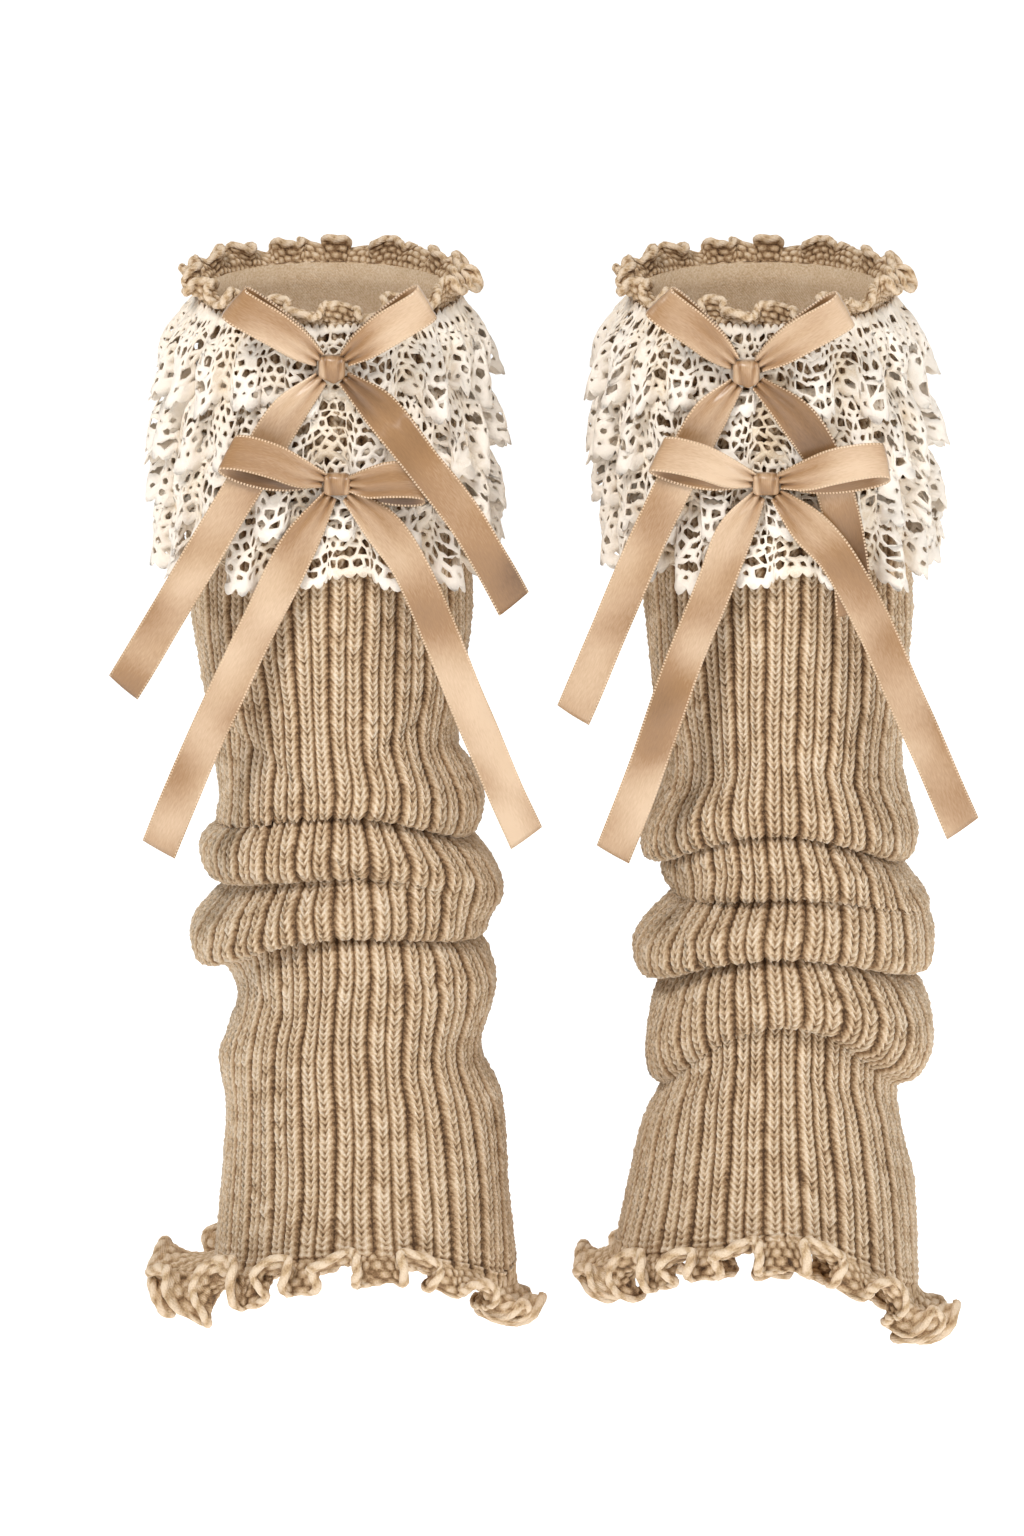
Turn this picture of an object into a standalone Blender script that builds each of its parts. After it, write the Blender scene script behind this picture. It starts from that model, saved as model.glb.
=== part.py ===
"""Pair of slouched rib-knit leg warmers with crocheted frills, lace flounces and satin bows.

Metres, +Z up. The wearer faces -Y, and left and right are a viewer's in front. The origin is
midway between the axes of the two calves, at the height where the upper edges grip them. Each
leg warmer is modelled about its own calf axis and carried by an empty there. All tables are in
millimetres."""

import math
from collections import namedtuple

import bpy
import numpy as np

MM = 0.001
LEG_SPACING = 175.0  # between the two calf axes
SEAM_GAP = 0.3  # between two pieces that are sewn together
HEM_EASE = 0.3  # more room at the hem, whose two rims have their corners at different places

# The rib knit: knit ridges between purl grooves, on a plain inner wall
RIB_COUNT = 24
RIB_HEIGHT = 1.6
WALL = 2.0
OUTER_COLUMNS = 2 * RIB_COUNT
INNER_COLUMNS = RIB_COUNT
WANDER = 0.7  # how far a section strays from its ellipse
WANDER_TURN = 2.4  # radians that the straying turns from one section to the next
STEEPEST_MITRE = 0.45

# One row for each section of the tube, from the upper edge down: how far it reaches from the
# calf axis to each side, and how high it lies there
Section = namedtuple("Section", "left right front back left_z right_z front_z back_z")

LEFT_SECTIONS = (
    Section(50.0, 50.0, 50.0, 51.0, -9.0, -9.0, -9.5, -9.0),  # upper edge
    Section(52.0, 52.0, 52.0, 54.0, -45.0, -45.0, -45.0, -45.0),
    Section(55.0, 55.0, 54.0, 57.0, -95.0, -95.0, -95.0, -95.0),
    Section(55.0, 56.0, 55.0, 57.0, -139.0, -139.0, -139.0, -139.0),  # below the lace
    Section(49.0, 53.0, 53.0, 54.0, -172.0, -172.0, -170.0, -172.0),
    Section(45.5, 51.0, 53.0, 53.0, -195.0, -193.0, -188.0, -194.0),
    Section(43.5, 60.5, 58.0, 58.0, -219.0, -218.0, -203.0, -216.0),  # fold 1
    Section(43.5, 58.5, 57.5, 58.0, -228.0, -232.0, -213.5, -229.0),
    Section(42.0, 49.5, 49.0, 51.0, -230.0, -231.5, -213.0, -228.5),  # crease 1
    Section(47.0, 60.0, 56.0, 57.0, -234.0, -240.0, -221.0, -237.0),
    Section(50.5, 68.5, 59.0, 60.0, -239.5, -253.0, -230.0, -248.0),  # fold 2
    Section(48.5, 68.5, 58.0, 58.5, -250.0, -260.0, -237.5, -256.5),
    Section(38.5, 66.5, 53.0, 54.0, -252.5, -265.0, -241.0, -260.0),  # crease 2, left and front
    Section(54.0, 64.0, 60.0, 61.0, -273.0, -269.0, -253.0, -274.0),  # fold 3
    Section(53.0, 61.5, 59.0, 60.0, -286.0, -274.0, -263.5, -285.0),
    Section(42.0, 53.0, 49.5, 50.0, -287.0, -273.5, -263.0, -285.0),  # crease 3
    Section(37.5, 61.5, 56.0, 56.5, -295.0, -281.5, -271.0, -294.0),
    Section(36.0, 66.0, 58.5, 59.0, -306.0, -296.5, -284.0, -307.0),  # fold 4
    Section(43.0, 60.5, 58.0, 57.0, -324.0, -324.0, -312.0, -326.0),
    Section(41.0, 68.0, 63.0, 58.0, -347.0, -346.0, -338.0, -348.0),
    Section(41.5, 71.5, 71.0, 59.0, -376.0, -378.0, -366.0, -380.0),
    Section(45.0, 74.5, 79.0, 62.0, -410.0, -416.0, -395.0, -418.0),  # hem
)
RIGHT_SECTIONS = (
    Section(50.0, 50.0, 50.0, 51.0, -9.0, -9.0, -9.5, -9.0),  # upper edge
    Section(52.0, 53.0, 52.0, 54.0, -45.0, -45.0, -45.0, -45.0),
    Section(50.0, 58.0, 54.0, 57.0, -95.0, -95.0, -95.0, -95.0),
    Section(46.5, 59.0, 55.0, 57.0, -139.0, -139.0, -139.0, -139.0),  # below the lace
    Section(42.5, 57.5, 53.0, 54.0, -170.0, -170.0, -168.0, -170.0),
    Section(37.5, 56.0, 53.0, 53.0, -206.0, -206.0, -195.0, -204.0),
    Section(47.0, 61.5, 58.0, 58.0, -232.0, -232.0, -211.5, -229.0),  # fold 1
    Section(46.0, 59.5, 57.5, 58.0, -242.0, -243.0, -221.0, -240.0),
    Section(40.0, 50.5, 49.0, 51.0, -243.5, -242.5, -220.5, -239.5),  # crease 1
    Section(39.0, 56.5, 56.0, 56.5, -247.0, -249.0, -228.0, -246.0),
    Section(38.0, 62.0, 58.5, 58.5, -251.0, -256.0, -237.0, -253.0),  # fold 2
    Section(36.5, 66.0, 57.0, 58.0, -256.0, -263.0, -247.5, -260.0),
    Section(34.0, 67.0, 50.5, 54.0, -259.5, -267.5, -249.0, -262.0),  # crease 2, left and front
    Section(49.8, 69.0, 60.0, 61.0, -279.0, -276.0, -262.0, -276.0),  # fold 3
    Section(48.0, 66.0, 59.0, 60.0, -291.0, -289.0, -272.0, -288.0),
    Section(35.5, 53.0, 49.5, 51.0, -291.0, -288.5, -271.5, -288.0),  # crease 3
    Section(42.0, 64.0, 58.0, 58.0, -302.0, -300.0, -280.0, -298.0),
    Section(45.0, 68.5, 61.0, 61.0, -320.0, -320.0, -291.0, -316.0),  # fold 4
    Section(43.5, 64.0, 60.0, 59.0, -334.0, -334.0, -299.5, -330.0),
    Section(39.5, 53.5, 54.0, 53.0, -338.5, -338.5, -302.0, -334.5),  # crease 4
    Section(46.0, 56.0, 61.0, 56.0, -356.0, -356.0, -336.0, -354.0),
    Section(52.0, 61.0, 70.0, 58.0, -379.0, -382.0, -364.0, -380.0),
    Section(58.0, 62.0, 78.0, 62.0, -406.0, -423.0, -390.0, -420.0),  # hem
)
LACED_SECTIONS = 4  # the straight sections that the lace hangs over

# One row for each ring of a frill, from where it is sewn on to its free edge: its share of the
# frill's depth, of its flare and of its waves
Ring = namedtuple("Ring", "down flare wave")

FRILL_RINGS = (Ring(0.0, 0.0, 0.0), Ring(0.5, 0.42, 0.5), Ring(1.0, 1.0, 1.0))
FRILL_THICKNESS = 2.2
POINTS_PER_WAVE = 4
TOP_FRILL_WAVES = 16
TOP_FRILL_HEIGHT = 11.0
TOP_FRILL_FLARE = 4.5
TOP_FRILL_WAVE = 3.6
HEM_FRILL_WAVES = 15
HEM_FRILL_WAVE = 6.0
FRILL_CURL = 0.22  # share of the depth by which an outward wave turns back

# How far a hem frill flares and drops at each side
Sides = namedtuple("Sides", "left right front back")

LEFT_HEM_FLARE = Sides(26.0, 10.0, 8.0, 10.0)
LEFT_HEM_DROP = Sides(15.0, 20.0, 14.0, 18.0)
RIGHT_HEM_FLARE = Sides(16.0, 15.0, 8.0, 10.0)
RIGHT_HEM_DROP = Sides(18.0, 19.0, 14.0, 18.0)

# One row for each lace flounce: where it is sewn on, and where its points end
Tier = namedtuple("Tier", "top bottom")

TIERS = (Tier(-13.0, -43.0), Tier(-38.0, -70.0), Tier(-63.0, -94.0), Tier(-88.0, -119.0))
LACE_RINGS = (Ring(0.0, 0.0, 0.0), Ring(0.36, 0.7, 0.6), Ring(1.0, 1.0, 1.0))
LACE_WAVES = 14
LACE_COLUMNS = 2 * LACE_WAVES
LACE_THICKNESS = 1.0
LACE_LIFT = 0.8  # between the knit ridges and the lace's back where it is sewn on
LACE_FLARE = Sides(17.0, 17.0, 4.5, 13.0)
LACE_WAVE = Sides(0.34, 0.34, 0.16, 0.3)  # as a share of the flare
LACE_SCALLOP = 2.5  # by which an outward wave hangs lower
LACE_DRIFT = 0.15  # radians that the waves turn from one flounce to the next
HOLE_ACROSS = (0.31, 0.69)  # each cut hole's place in its cell of the lower band
HOLE_DOWN = (0.36, 0.66)

# Satin ribbon, tied in two bows on each front
RIBBON_WIDTH = 15.0
RIBBON_THICKNESS = 1.0
PINCH = 0.42  # share of its width that a ribbon keeps at the knot
KNOT_DEPTH = 6.5
KNOT_ROUNDING = 0.9
TAIL_STAGGER = 1.5  # the right tail leaves the knot this far in front of the left one
LOOP_BELLY = 5.0

# Where a bow's ribbon runs: across from the calf axis, height, and out in front of that axis
Spot = namedtuple("Spot", "across height out")
Knot = namedtuple("Knot", "across height out width tall")
Bow = namedtuple("Bow", "name knot left_loop right_loop left_tail right_tail")

# One row for each point of a loop, from the knot out along its face and back behind it
Course = namedtuple("Course", "along lift width")

LOOP_COURSE = (
    Course(0.0, 0.28, PINCH),
    Course(0.22, 0.75, 0.8),
    Course(0.5, 1.0, 0.97),
    Course(0.8, 1.0, 1.0),
    Course(0.96, 0.82, 1.0),
    Course(1.0, 0.5, 1.0),
    Course(0.96, 0.16, 1.0),
    Course(0.8, 0.0, 1.0),
    Course(0.5, 0.0, 0.97),
    Course(0.22, 0.0, 0.8),
    Course(0.0, 0.0, PINCH),
)

LEFT_BOWS = (
    Bow(
        "upper_bow",
        Knot(1.8, -26.3, 61.5, 10.5, 10.5),
        Spot(-37.5, 0.0, 64.0),
        Spot(40.0, 0.0, 64.0),
        (
            Spot(-16.4, -46.0, 63.6),
            Spot(-33.0, -74.0, 64.0),
            Spot(-50.0, -103.0, 64.5),
            Spot(-66.0, -131.0, 64.0),
            Spot(-82.4, -159.5, 61.0),
        ),
        (
            Spot(20.5, -43.0, 66.0),
            Spot(40.0, -66.0, 74.5),
            Spot(55.0, -86.0, 75.5),
            Spot(66.0, -105.0, 73.5),
            Spot(75.0, -123.0, 70.0),
        ),
    ),
    Bow(
        "lower_bow",
        Knot(3.8, -74.5, 63.9, 11.7, 9.0),
        Spot(-40.5, -58.0, 67.0),
        Spot(39.0, -71.5, 66.0),
        (
            Spot(-11.5, -99.5, 65.0),
            Spot(-27.0, -131.0, 65.5),
            Spot(-46.0, -172.0, 65.0),
            Spot(-60.0, -205.0, 63.5),
            Spot(-68.4, -227.0, 61.0),
        ),
        (
            Spot(21.0, -91.0, 66.0),
            Spot(33.0, -108.0, 66.5),
            Spot(45.0, -136.0, 66.0),
            Spot(57.5, -168.0, 65.0),
            Spot(71.0, -201.0, 63.5),
            Spot(80.0, -222.0, 62.0),
        ),
    ),
)
RIGHT_BOWS = (
    Bow(
        "upper_bow",
        Knot(-6.9, -28.8, 61.7, 10.5, 10.5),
        Spot(-42.0, 0.5, 64.0),
        Spot(32.8, -2.8, 64.0),
        (
            Spot(-21.9, -47.0, 63.6),
            Spot(-36.0, -75.0, 64.0),
            Spot(-50.0, -106.0, 64.5),
            Spot(-63.0, -138.0, 64.0),
            Spot(-76.3, -171.0, 61.0),
        ),
        (
            Spot(13.0, -47.0, 63.8),
            Spot(24.0, -64.0, 63.4),
            Spot(31.0, -86.0, 63.2),
            Spot(35.0, -107.0, 63.0),
            Spot(37.0, -128.0, 62.5),
        ),
    ),
    Bow(
        "lower_bow",
        Knot(1.2, -74.5, 63.4, 11.7, 9.0),
        Spot(-42.7, -59.0, 67.0),
        Spot(49.4, -61.6, 67.0),
        (
            Spot(-11.0, -94.0, 65.0),
            Spot(-18.6, -114.0, 65.5),
            Spot(-33.0, -151.0, 65.5),
            Spot(-47.0, -193.0, 64.0),
            Spot(-60.3, -229.0, 61.0),
        ),
        (
            Spot(17.5, -91.0, 66.5),
            Spot(30.0, -105.0, 67.0),
            Spot(44.0, -131.0, 66.5),
            Spot(58.0, -164.0, 65.0),
            Spot(70.5, -193.0, 63.5),
            Spot(80.8, -218.0, 62.0),
        ),
    ),
)

Finish = namedtuple("Finish", "name colour roughness")

KNIT = Finish("cotton_rib_knit", "C4A682", 0.9)
CROCHET = Finish("cotton_crochet", "BE9F78", 0.9)
LACE = Finish("cotton_lace", "F3ECE2", 0.85)
SATIN = Finish("satin_ribbon", "C9A583", 0.35)


def clear_scene():
    for obj in list(bpy.data.objects):
        bpy.data.objects.remove(obj, do_unlink=True)


def linear(colour):
    """The linear values of an sRGB hex colour."""
    values = [int(colour[i : i + 2], 16) / 255 for i in (0, 2, 4)]
    return [v / 12.92 if v <= 0.04045 else ((v + 0.055) / 1.055) ** 2.4 for v in values]


def material(finish, piece):
    """The piece's own plain material of this finish."""
    made = bpy.data.materials.new(f"{finish.name}_{piece}")
    made.use_nodes = True
    shader = made.node_tree.nodes["Principled BSDF"]
    shader.inputs["Base Color"].default_value = (*linear(finish.colour), 1.0)
    shader.inputs["Roughness"].default_value = finish.roughness
    shader.inputs["Metallic"].default_value = 0.0
    return made


def angles(count):
    return np.arange(count) * 2 * math.pi / count


def blend(theta, left, right, front, back):
    """A value given at four sides, blended round by the squares of the cosine and the sine."""
    cosine = np.cos(theta)
    sine = np.sin(theta)
    across = np.where(cosine > 0, right, left) * cosine**2
    return across + np.where(sine > 0, back, front) * sine**2


def outward(theta):
    """Unit vectors away from the calf axis."""
    return np.stack([np.cos(theta), np.sin(theta), np.zeros_like(theta)], axis=-1)


def ellipse(section, theta):
    """The section's ellipse, its height blended between the four sides."""
    x = (section.right - section.left) / 2 + (section.right + section.left) / 2 * np.cos(theta)
    y = (section.back - section.front) / 2 + (section.back + section.front) / 2 * np.sin(theta)
    z = blend(theta, section.left_z, section.right_z, section.front_z, section.back_z)
    return np.stack([x, y, z], axis=-1)


def knit_form(sections, theta):
    """The tube's smooth form: one ring of points for each section, strayed a little."""
    rings = []
    for row, section in enumerate(sections):
        stray = WANDER * np.sin(3 * theta + WANDER_TURN * row)
        rings.append(ellipse(section, theta) + stray[:, None] * outward(theta))
    return np.array(rings)


def inset(form, theta, depth):
    """The form moved inwards by the wall. Each point moves along the mitre of the two stretches
    that meet there, seen in the plane through the calf axis, so creases keep their wall."""
    away = outward(theta)
    reach = (form * away).sum(axis=-1)
    step = np.diff(np.stack([reach, form[..., 2]], axis=-1), axis=0)
    step /= np.linalg.norm(step, axis=-1, keepdims=True)
    normal = np.stack([-step[..., 1], step[..., 0]], axis=-1)
    above = np.concatenate([normal[:1], normal])
    below = np.concatenate([normal, normal[-1:]])
    cosine = (above * below).sum(axis=-1, keepdims=True)
    move = (above + below) / np.maximum(1 + cosine, STEEPEST_MITRE) * depth
    return form - move[..., :1] * away - move[..., 1:] * np.array([0.0, 0.0, 1.0])


def quads(rows, columns, wrap):
    """The corner numbers of a grid's cells, facing outwards where rows run down and columns
    run anticlockwise seen from above."""
    across = columns if wrap else columns - 1
    row, column = np.meshgrid(np.arange(rows - 1), np.arange(across), indexing="ij")
    after = (column + 1) % columns
    corners = [row * columns + column, (row + 1) * columns + column]
    corners += [(row + 1) * columns + after, row * columns + after]
    return np.stack(corners, axis=-1)


def tube_faces(rows):
    """Faces of the closed knit wall: ribbed outside, plain inside, and the two rims between."""
    inside = rows * OUTER_COLUMNS
    faces = quads(rows, OUTER_COLUMNS, True).reshape(-1, 4).tolist()
    faces += (quads(rows, INNER_COLUMNS, True).reshape(-1, 4)[:, ::-1] + inside).tolist()
    for row, turn in ((0, 1), (rows - 1, -1)):
        for rib in range(INNER_COLUMNS):
            outer = [row * OUTER_COLUMNS + (2 * rib + i) % OUTER_COLUMNS for i in range(3)]
            inner = [inside + row * INNER_COLUMNS + (rib + i) % INNER_COLUMNS for i in range(2)]
            rim = [(inner[0], outer[0], outer[1]), (inner[0], outer[1], inner[1])]
            rim.append((inner[1], outer[1], outer[2]))
            faces += [list(face)[::turn] for face in rim]
    return faces


class Warmer:
    """One leg warmer: its calf's empty, its collection, and a way to add a piece."""

    def __init__(self, side, offset, collection):
        self.side = side
        self.collection = collection
        self.axis = bpy.data.objects.new(f"{side}_calf_axis", None)
        self.axis.location = (offset * MM, 0.0, 0.0)
        collection.objects.link(self.axis)

    def add(self, piece, points, faces, finish, thickness=None, centred=False):
        """A piece from its points in millimetres, given a wall by Solidify where it is open."""
        name = f"{self.side}_{piece}"
        mesh = bpy.data.meshes.new(name)
        mesh.from_pydata((np.asarray(points).reshape(-1, 3) * MM).tolist(), [], faces)
        mesh.materials.append(material(finish, name))
        obj = bpy.data.objects.new(name, mesh)
        self.collection.objects.link(obj)
        obj.parent = self.axis
        if thickness:
            wall = obj.modifiers.new("wall", "SOLIDIFY")
            wall.thickness = thickness * MM
            wall.offset = 0.0 if centred else -1.0
        mesh.shade_smooth()
        return obj


def add_tube(warmer, sections):
    """The rib-knit tube."""
    outer_theta = angles(OUTER_COLUMNS)
    inner_theta = angles(INNER_COLUMNS)
    ridge = RIB_HEIGHT * (np.arange(OUTER_COLUMNS) % 2)
    outer = knit_form(sections, outer_theta) + ridge[:, None] * outward(outer_theta)
    inner = inset(knit_form(sections, inner_theta), inner_theta, WALL)
    points = np.concatenate([outer.reshape(-1, 3), inner.reshape(-1, 3)])
    warmer.add("knit_tube", points, tube_faces(len(sections)), KNIT)


def frill_points(rim, theta, waves, wave, flare, drop):
    """Rings from a rim to a frill's free edge. The flare is how far it stands out, the drop how
    far it hangs below the rim, and an outward wave turns back by the curl."""
    swing = np.cos(waves * theta)
    rings = []
    for ring in FRILL_RINGS:
        out = ring.flare * flare + ring.wave * wave * swing
        down = ring.down * drop * (1 - FRILL_CURL * swing * ring.wave)
        rings.append(rim + out[:, None] * outward(theta) - down[:, None] * np.array([0, 0, 1.0]))
    return np.array(rings)


def add_top_frill(warmer, sections):
    """The crocheted frill that stands on the upper edge."""
    theta = angles(TOP_FRILL_WAVES * POINTS_PER_WAVE)
    rim = ellipse(sections[0], theta) + np.array([0.0, 0.0, SEAM_GAP])
    height = np.full(len(theta), -TOP_FRILL_HEIGHT)
    flare = np.full(len(theta), TOP_FRILL_FLARE)
    grid = frill_points(rim, theta, TOP_FRILL_WAVES, TOP_FRILL_WAVE, flare, height)
    grid = grid[::-1]
    faces = quads(len(grid), len(theta), True).reshape(-1, 4).tolist()
    warmer.add("top_frill", grid, faces, CROCHET, FRILL_THICKNESS)


def add_hem_frill(warmer, sections, flare, drop):
    """The crocheted frill that hangs from the hem."""
    theta = angles(HEM_FRILL_WAVES * POINTS_PER_WAVE)
    rim = ellipse(sections[-1], theta) - np.array([0.0, 0.0, SEAM_GAP + HEM_EASE])
    grid = frill_points(
        rim, theta, HEM_FRILL_WAVES, HEM_FRILL_WAVE, blend(theta, *flare), blend(theta, *drop)
    )
    faces = quads(len(grid), len(theta), True).reshape(-1, 4).tolist()
    warmer.add("hem_frill", grid, faces, CROCHET, FRILL_THICKNESS)


def laced_section(sections, height):
    """The tube's section at this height, within the stretch that the lace covers."""
    rows = np.array(sections[:LACED_SECTIONS])
    level = rows[:, 4:].mean(axis=1)
    reach = [np.interp(height, level[::-1], rows[::-1, i]) for i in range(4)]
    return Section(*reach, height, height, height, height)


def lace_points(sections, number, theta):
    """The rings of one flounce, from where it is gathered on to its free edge."""
    tier = TIERS[number]
    swing = np.cos(LACE_WAVES * theta + LACE_DRIFT * number)
    rings = []
    for ring in LACE_RINGS:
        height = tier.top + (tier.bottom - tier.top) * ring.down
        wave = blend(theta, *LACE_WAVE) * swing * ring.wave
        out = RIB_HEIGHT + LACE_LIFT + LACE_THICKNESS
        out = out + ring.flare * blend(theta, *LACE_FLARE) * (1 + wave)
        points = ellipse(laced_section(sections, height), theta)
        points = points + out[:, None] * outward(theta)
        points[:, 2] -= LACE_SCALLOP * ring.wave * swing
        rings.append(points)
    return np.array(rings)


def cut_holes(grid, faces):
    """Cuts a hole through every other cell of the flounce's lower band: the cell's face becomes
    four faces round the hole, whose corners are points of the cell."""
    points = grid.reshape(-1, 3).tolist()
    kept = faces[0].tolist()
    for number, cell in enumerate(faces[1].tolist()):
        if number % 2:
            kept.append(cell)
            continue
        top_near, low_near, low_far, top_far = np.array([points[corner] for corner in cell])
        first = len(points)
        places = [(0, 0), (0, 1), (1, 1), (1, 0)]
        for across, down in places:
            u = HOLE_ACROSS[across]
            v = HOLE_DOWN[down]
            upper = top_near * (1 - u) + top_far * u
            lower = low_near * (1 - u) + low_far * u
            points.append((upper * (1 - v) + lower * v).tolist())
        for side in range(4):
            after = (side + 1) % 4
            kept.append([cell[side], cell[after], first + after, first + side])
    return np.array(points), kept


def add_lace(warmer, sections):
    """The lace flounces."""
    theta = angles(LACE_COLUMNS)
    for number in range(len(TIERS)):
        grid = lace_points(sections, number, theta)
        points, faces = cut_holes(grid, quads(len(grid), len(theta), True))
        warmer.add(f"lace_tier_{number + 1}", points, faces, LACE, LACE_THICKNESS)


def strip(path, widths):
    """A ribbon's two edges: half a width to each side of its path, at right angles to the way
    it runs in the front plane."""
    path = np.array(path)
    run = np.gradient(path[:, ::2], axis=0)
    along = path[-1, ::2] - path[0, ::2]
    # A loop's run turns round at its end, so the side follows the loop's own direction
    looped = np.linalg.norm(along) < RIBBON_WIDTH
    if looped:
        far = path[np.argmax(np.linalg.norm(path[:, ::2] - path[0, ::2], axis=1)), ::2]
        run = np.tile(far - path[0, ::2], (len(path), 1))
    run /= np.linalg.norm(run, axis=1, keepdims=True)
    side = np.stack([-run[:, 1], np.zeros(len(run)), run[:, 0]], axis=-1)
    half = np.array(widths)[:, None] * RIBBON_WIDTH / 2
    return np.stack([path - half * side, path + half * side], axis=1)


def clear_start(knot, direction):
    """How far from the knot's middle a ribbon starts in this direction: its square end passes
    the knot's corner by the seam gap."""
    across, height = np.abs(direction)
    return across * knot.width / 2 + height * knot.tall / 2 + SEAM_GAP


def add_loop(warmer, name, knot, end):
    """One loop of a bow: out along its face, round, and back behind it."""
    middle = np.array([knot.across, knot.height])
    away = np.array([end.across, end.height]) - middle
    length = np.linalg.norm(away)
    away = away / length
    start = clear_start(knot, away)
    path = []
    for course in LOOP_COURSE:
        place = middle + away * (start + (length - start) * course.along)
        out = knot.out + (end.out - knot.out) * math.sin(course.along * math.pi / 2)
        out += LOOP_BELLY * course.lift
        path.append((place[0], -out, place[1]))
    grid = strip(path, [course.width for course in LOOP_COURSE])
    faces = quads(len(grid), 2, False).reshape(-1, 4).tolist()
    warmer.add(name, grid, faces, SATIN, RIBBON_THICKNESS, centred=True)


def add_tail(warmer, name, knot, spots, stagger):
    """One hanging tail of a bow, from under its knot through its spots."""
    middle = np.array([knot.across, knot.height])
    away = np.array([spots[0].across, spots[0].height]) - middle
    away = away / np.linalg.norm(away)
    start = middle + away * clear_start(knot, away)
    path = [(start[0], -(knot.out + stagger), start[1])]
    path += [(spot.across, -spot.out, spot.height) for spot in spots]
    grid = strip(path, [PINCH] + [1.0] * len(spots))
    faces = quads(len(grid), 2, False).reshape(-1, 4).tolist()
    warmer.add(name, grid, faces, SATIN, RIBBON_THICKNESS, centred=True)


def add_knot(warmer, name, knot):
    """The band that ties a bow: a rounded block."""
    bpy.ops.mesh.primitive_cube_add(size=1)
    obj = bpy.context.object
    full = f"{warmer.side}_{name}"
    obj.name = full
    obj.data.name = full
    obj.scale = (knot.width * MM, KNOT_DEPTH * MM, knot.tall * MM)
    bpy.ops.object.transform_apply(location=False, rotation=False, scale=True)
    obj.parent = warmer.axis
    obj.location = (knot.across * MM, -knot.out * MM, knot.height * MM)
    rounding = obj.modifiers.new("rounding", "BEVEL")
    rounding.width = KNOT_ROUNDING * MM
    rounding.segments = 2
    obj.data.materials.append(material(SATIN, full))
    obj.data.shade_smooth()
    for other in list(obj.users_collection):
        other.objects.unlink(obj)
    warmer.collection.objects.link(obj)


def add_bow(warmer, bow):
    add_knot(warmer, f"{bow.name}_knot", bow.knot)
    add_loop(warmer, f"{bow.name}_left_loop", bow.knot, bow.left_loop)
    add_loop(warmer, f"{bow.name}_right_loop", bow.knot, bow.right_loop)
    add_tail(warmer, f"{bow.name}_left_tail", bow.knot, bow.left_tail, -TAIL_STAGGER / 2)
    add_tail(warmer, f"{bow.name}_right_tail", bow.knot, bow.right_tail, TAIL_STAGGER / 2)


def add_warmer(side, offset, collection, sections, flare, drop, bows):
    warmer = Warmer(side, offset, collection)
    add_tube(warmer, sections)
    add_top_frill(warmer, sections)
    add_hem_frill(warmer, sections, flare, drop)
    add_lace(warmer, sections)
    for bow in bows:
        add_bow(warmer, bow)


def main():
    clear_scene()
    parts = bpy.data.collections.new("leg_warmers")
    bpy.context.scene.collection.children.link(parts)
    half = LEG_SPACING / 2
    add_warmer("left", -half, parts, LEFT_SECTIONS, LEFT_HEM_FLARE, LEFT_HEM_DROP, LEFT_BOWS)
    add_warmer("right", half, parts, RIGHT_SECTIONS, RIGHT_HEM_FLARE, RIGHT_HEM_DROP, RIGHT_BOWS)


main()
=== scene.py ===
"""The looks of a pair of slouched rib-knit leg warmers: stitches, crochet, cotton lace and satin.

The wearer faces -Y, and left and right are a viewer's in front. Tables and formulas are in
millimetres about each calf's own axis, and every mesh is made in metres, +Z up, in the frame
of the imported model."""

import math
from collections import namedtuple

import bpy
import numpy as np
from mathutils import Matrix


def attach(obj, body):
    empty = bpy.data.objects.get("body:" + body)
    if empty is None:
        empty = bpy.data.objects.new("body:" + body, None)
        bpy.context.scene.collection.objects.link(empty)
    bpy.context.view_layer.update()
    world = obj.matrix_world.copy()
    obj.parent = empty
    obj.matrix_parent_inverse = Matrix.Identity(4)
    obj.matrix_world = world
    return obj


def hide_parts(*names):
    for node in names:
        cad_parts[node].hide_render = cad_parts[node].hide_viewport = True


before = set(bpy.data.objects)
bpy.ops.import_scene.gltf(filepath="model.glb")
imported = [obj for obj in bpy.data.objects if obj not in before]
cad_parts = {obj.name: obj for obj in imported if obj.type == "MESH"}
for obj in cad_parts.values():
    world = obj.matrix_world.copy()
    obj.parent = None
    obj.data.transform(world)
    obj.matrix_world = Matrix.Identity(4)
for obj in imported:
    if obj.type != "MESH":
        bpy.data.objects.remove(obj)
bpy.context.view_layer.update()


def table(kind, *rows):
    """Rows of plain numbers as named tuples."""
    return tuple(kind(*row) for row in rows)


MM = 0.001
UP = np.array([0.0, 0.0, 1.0])
LEG_SPACING = 175.0  # between the two calf axes

# The tube's form: one row for each section, from the upper edge down, with how far it reaches
# from the calf axis to each side, and how high it lies there
WANDER = 0.7  # how far a section strays from its ellipse
WANDER_TURN = 2.4  # radians that the straying turns from one section to the next
WALL = 2.0
UPRIGHT = 0.8  # how far the ribs in front keep upright where a section lies aside
Section = namedtuple("Section", "left right front back left_z right_z front_z back_z")

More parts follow.
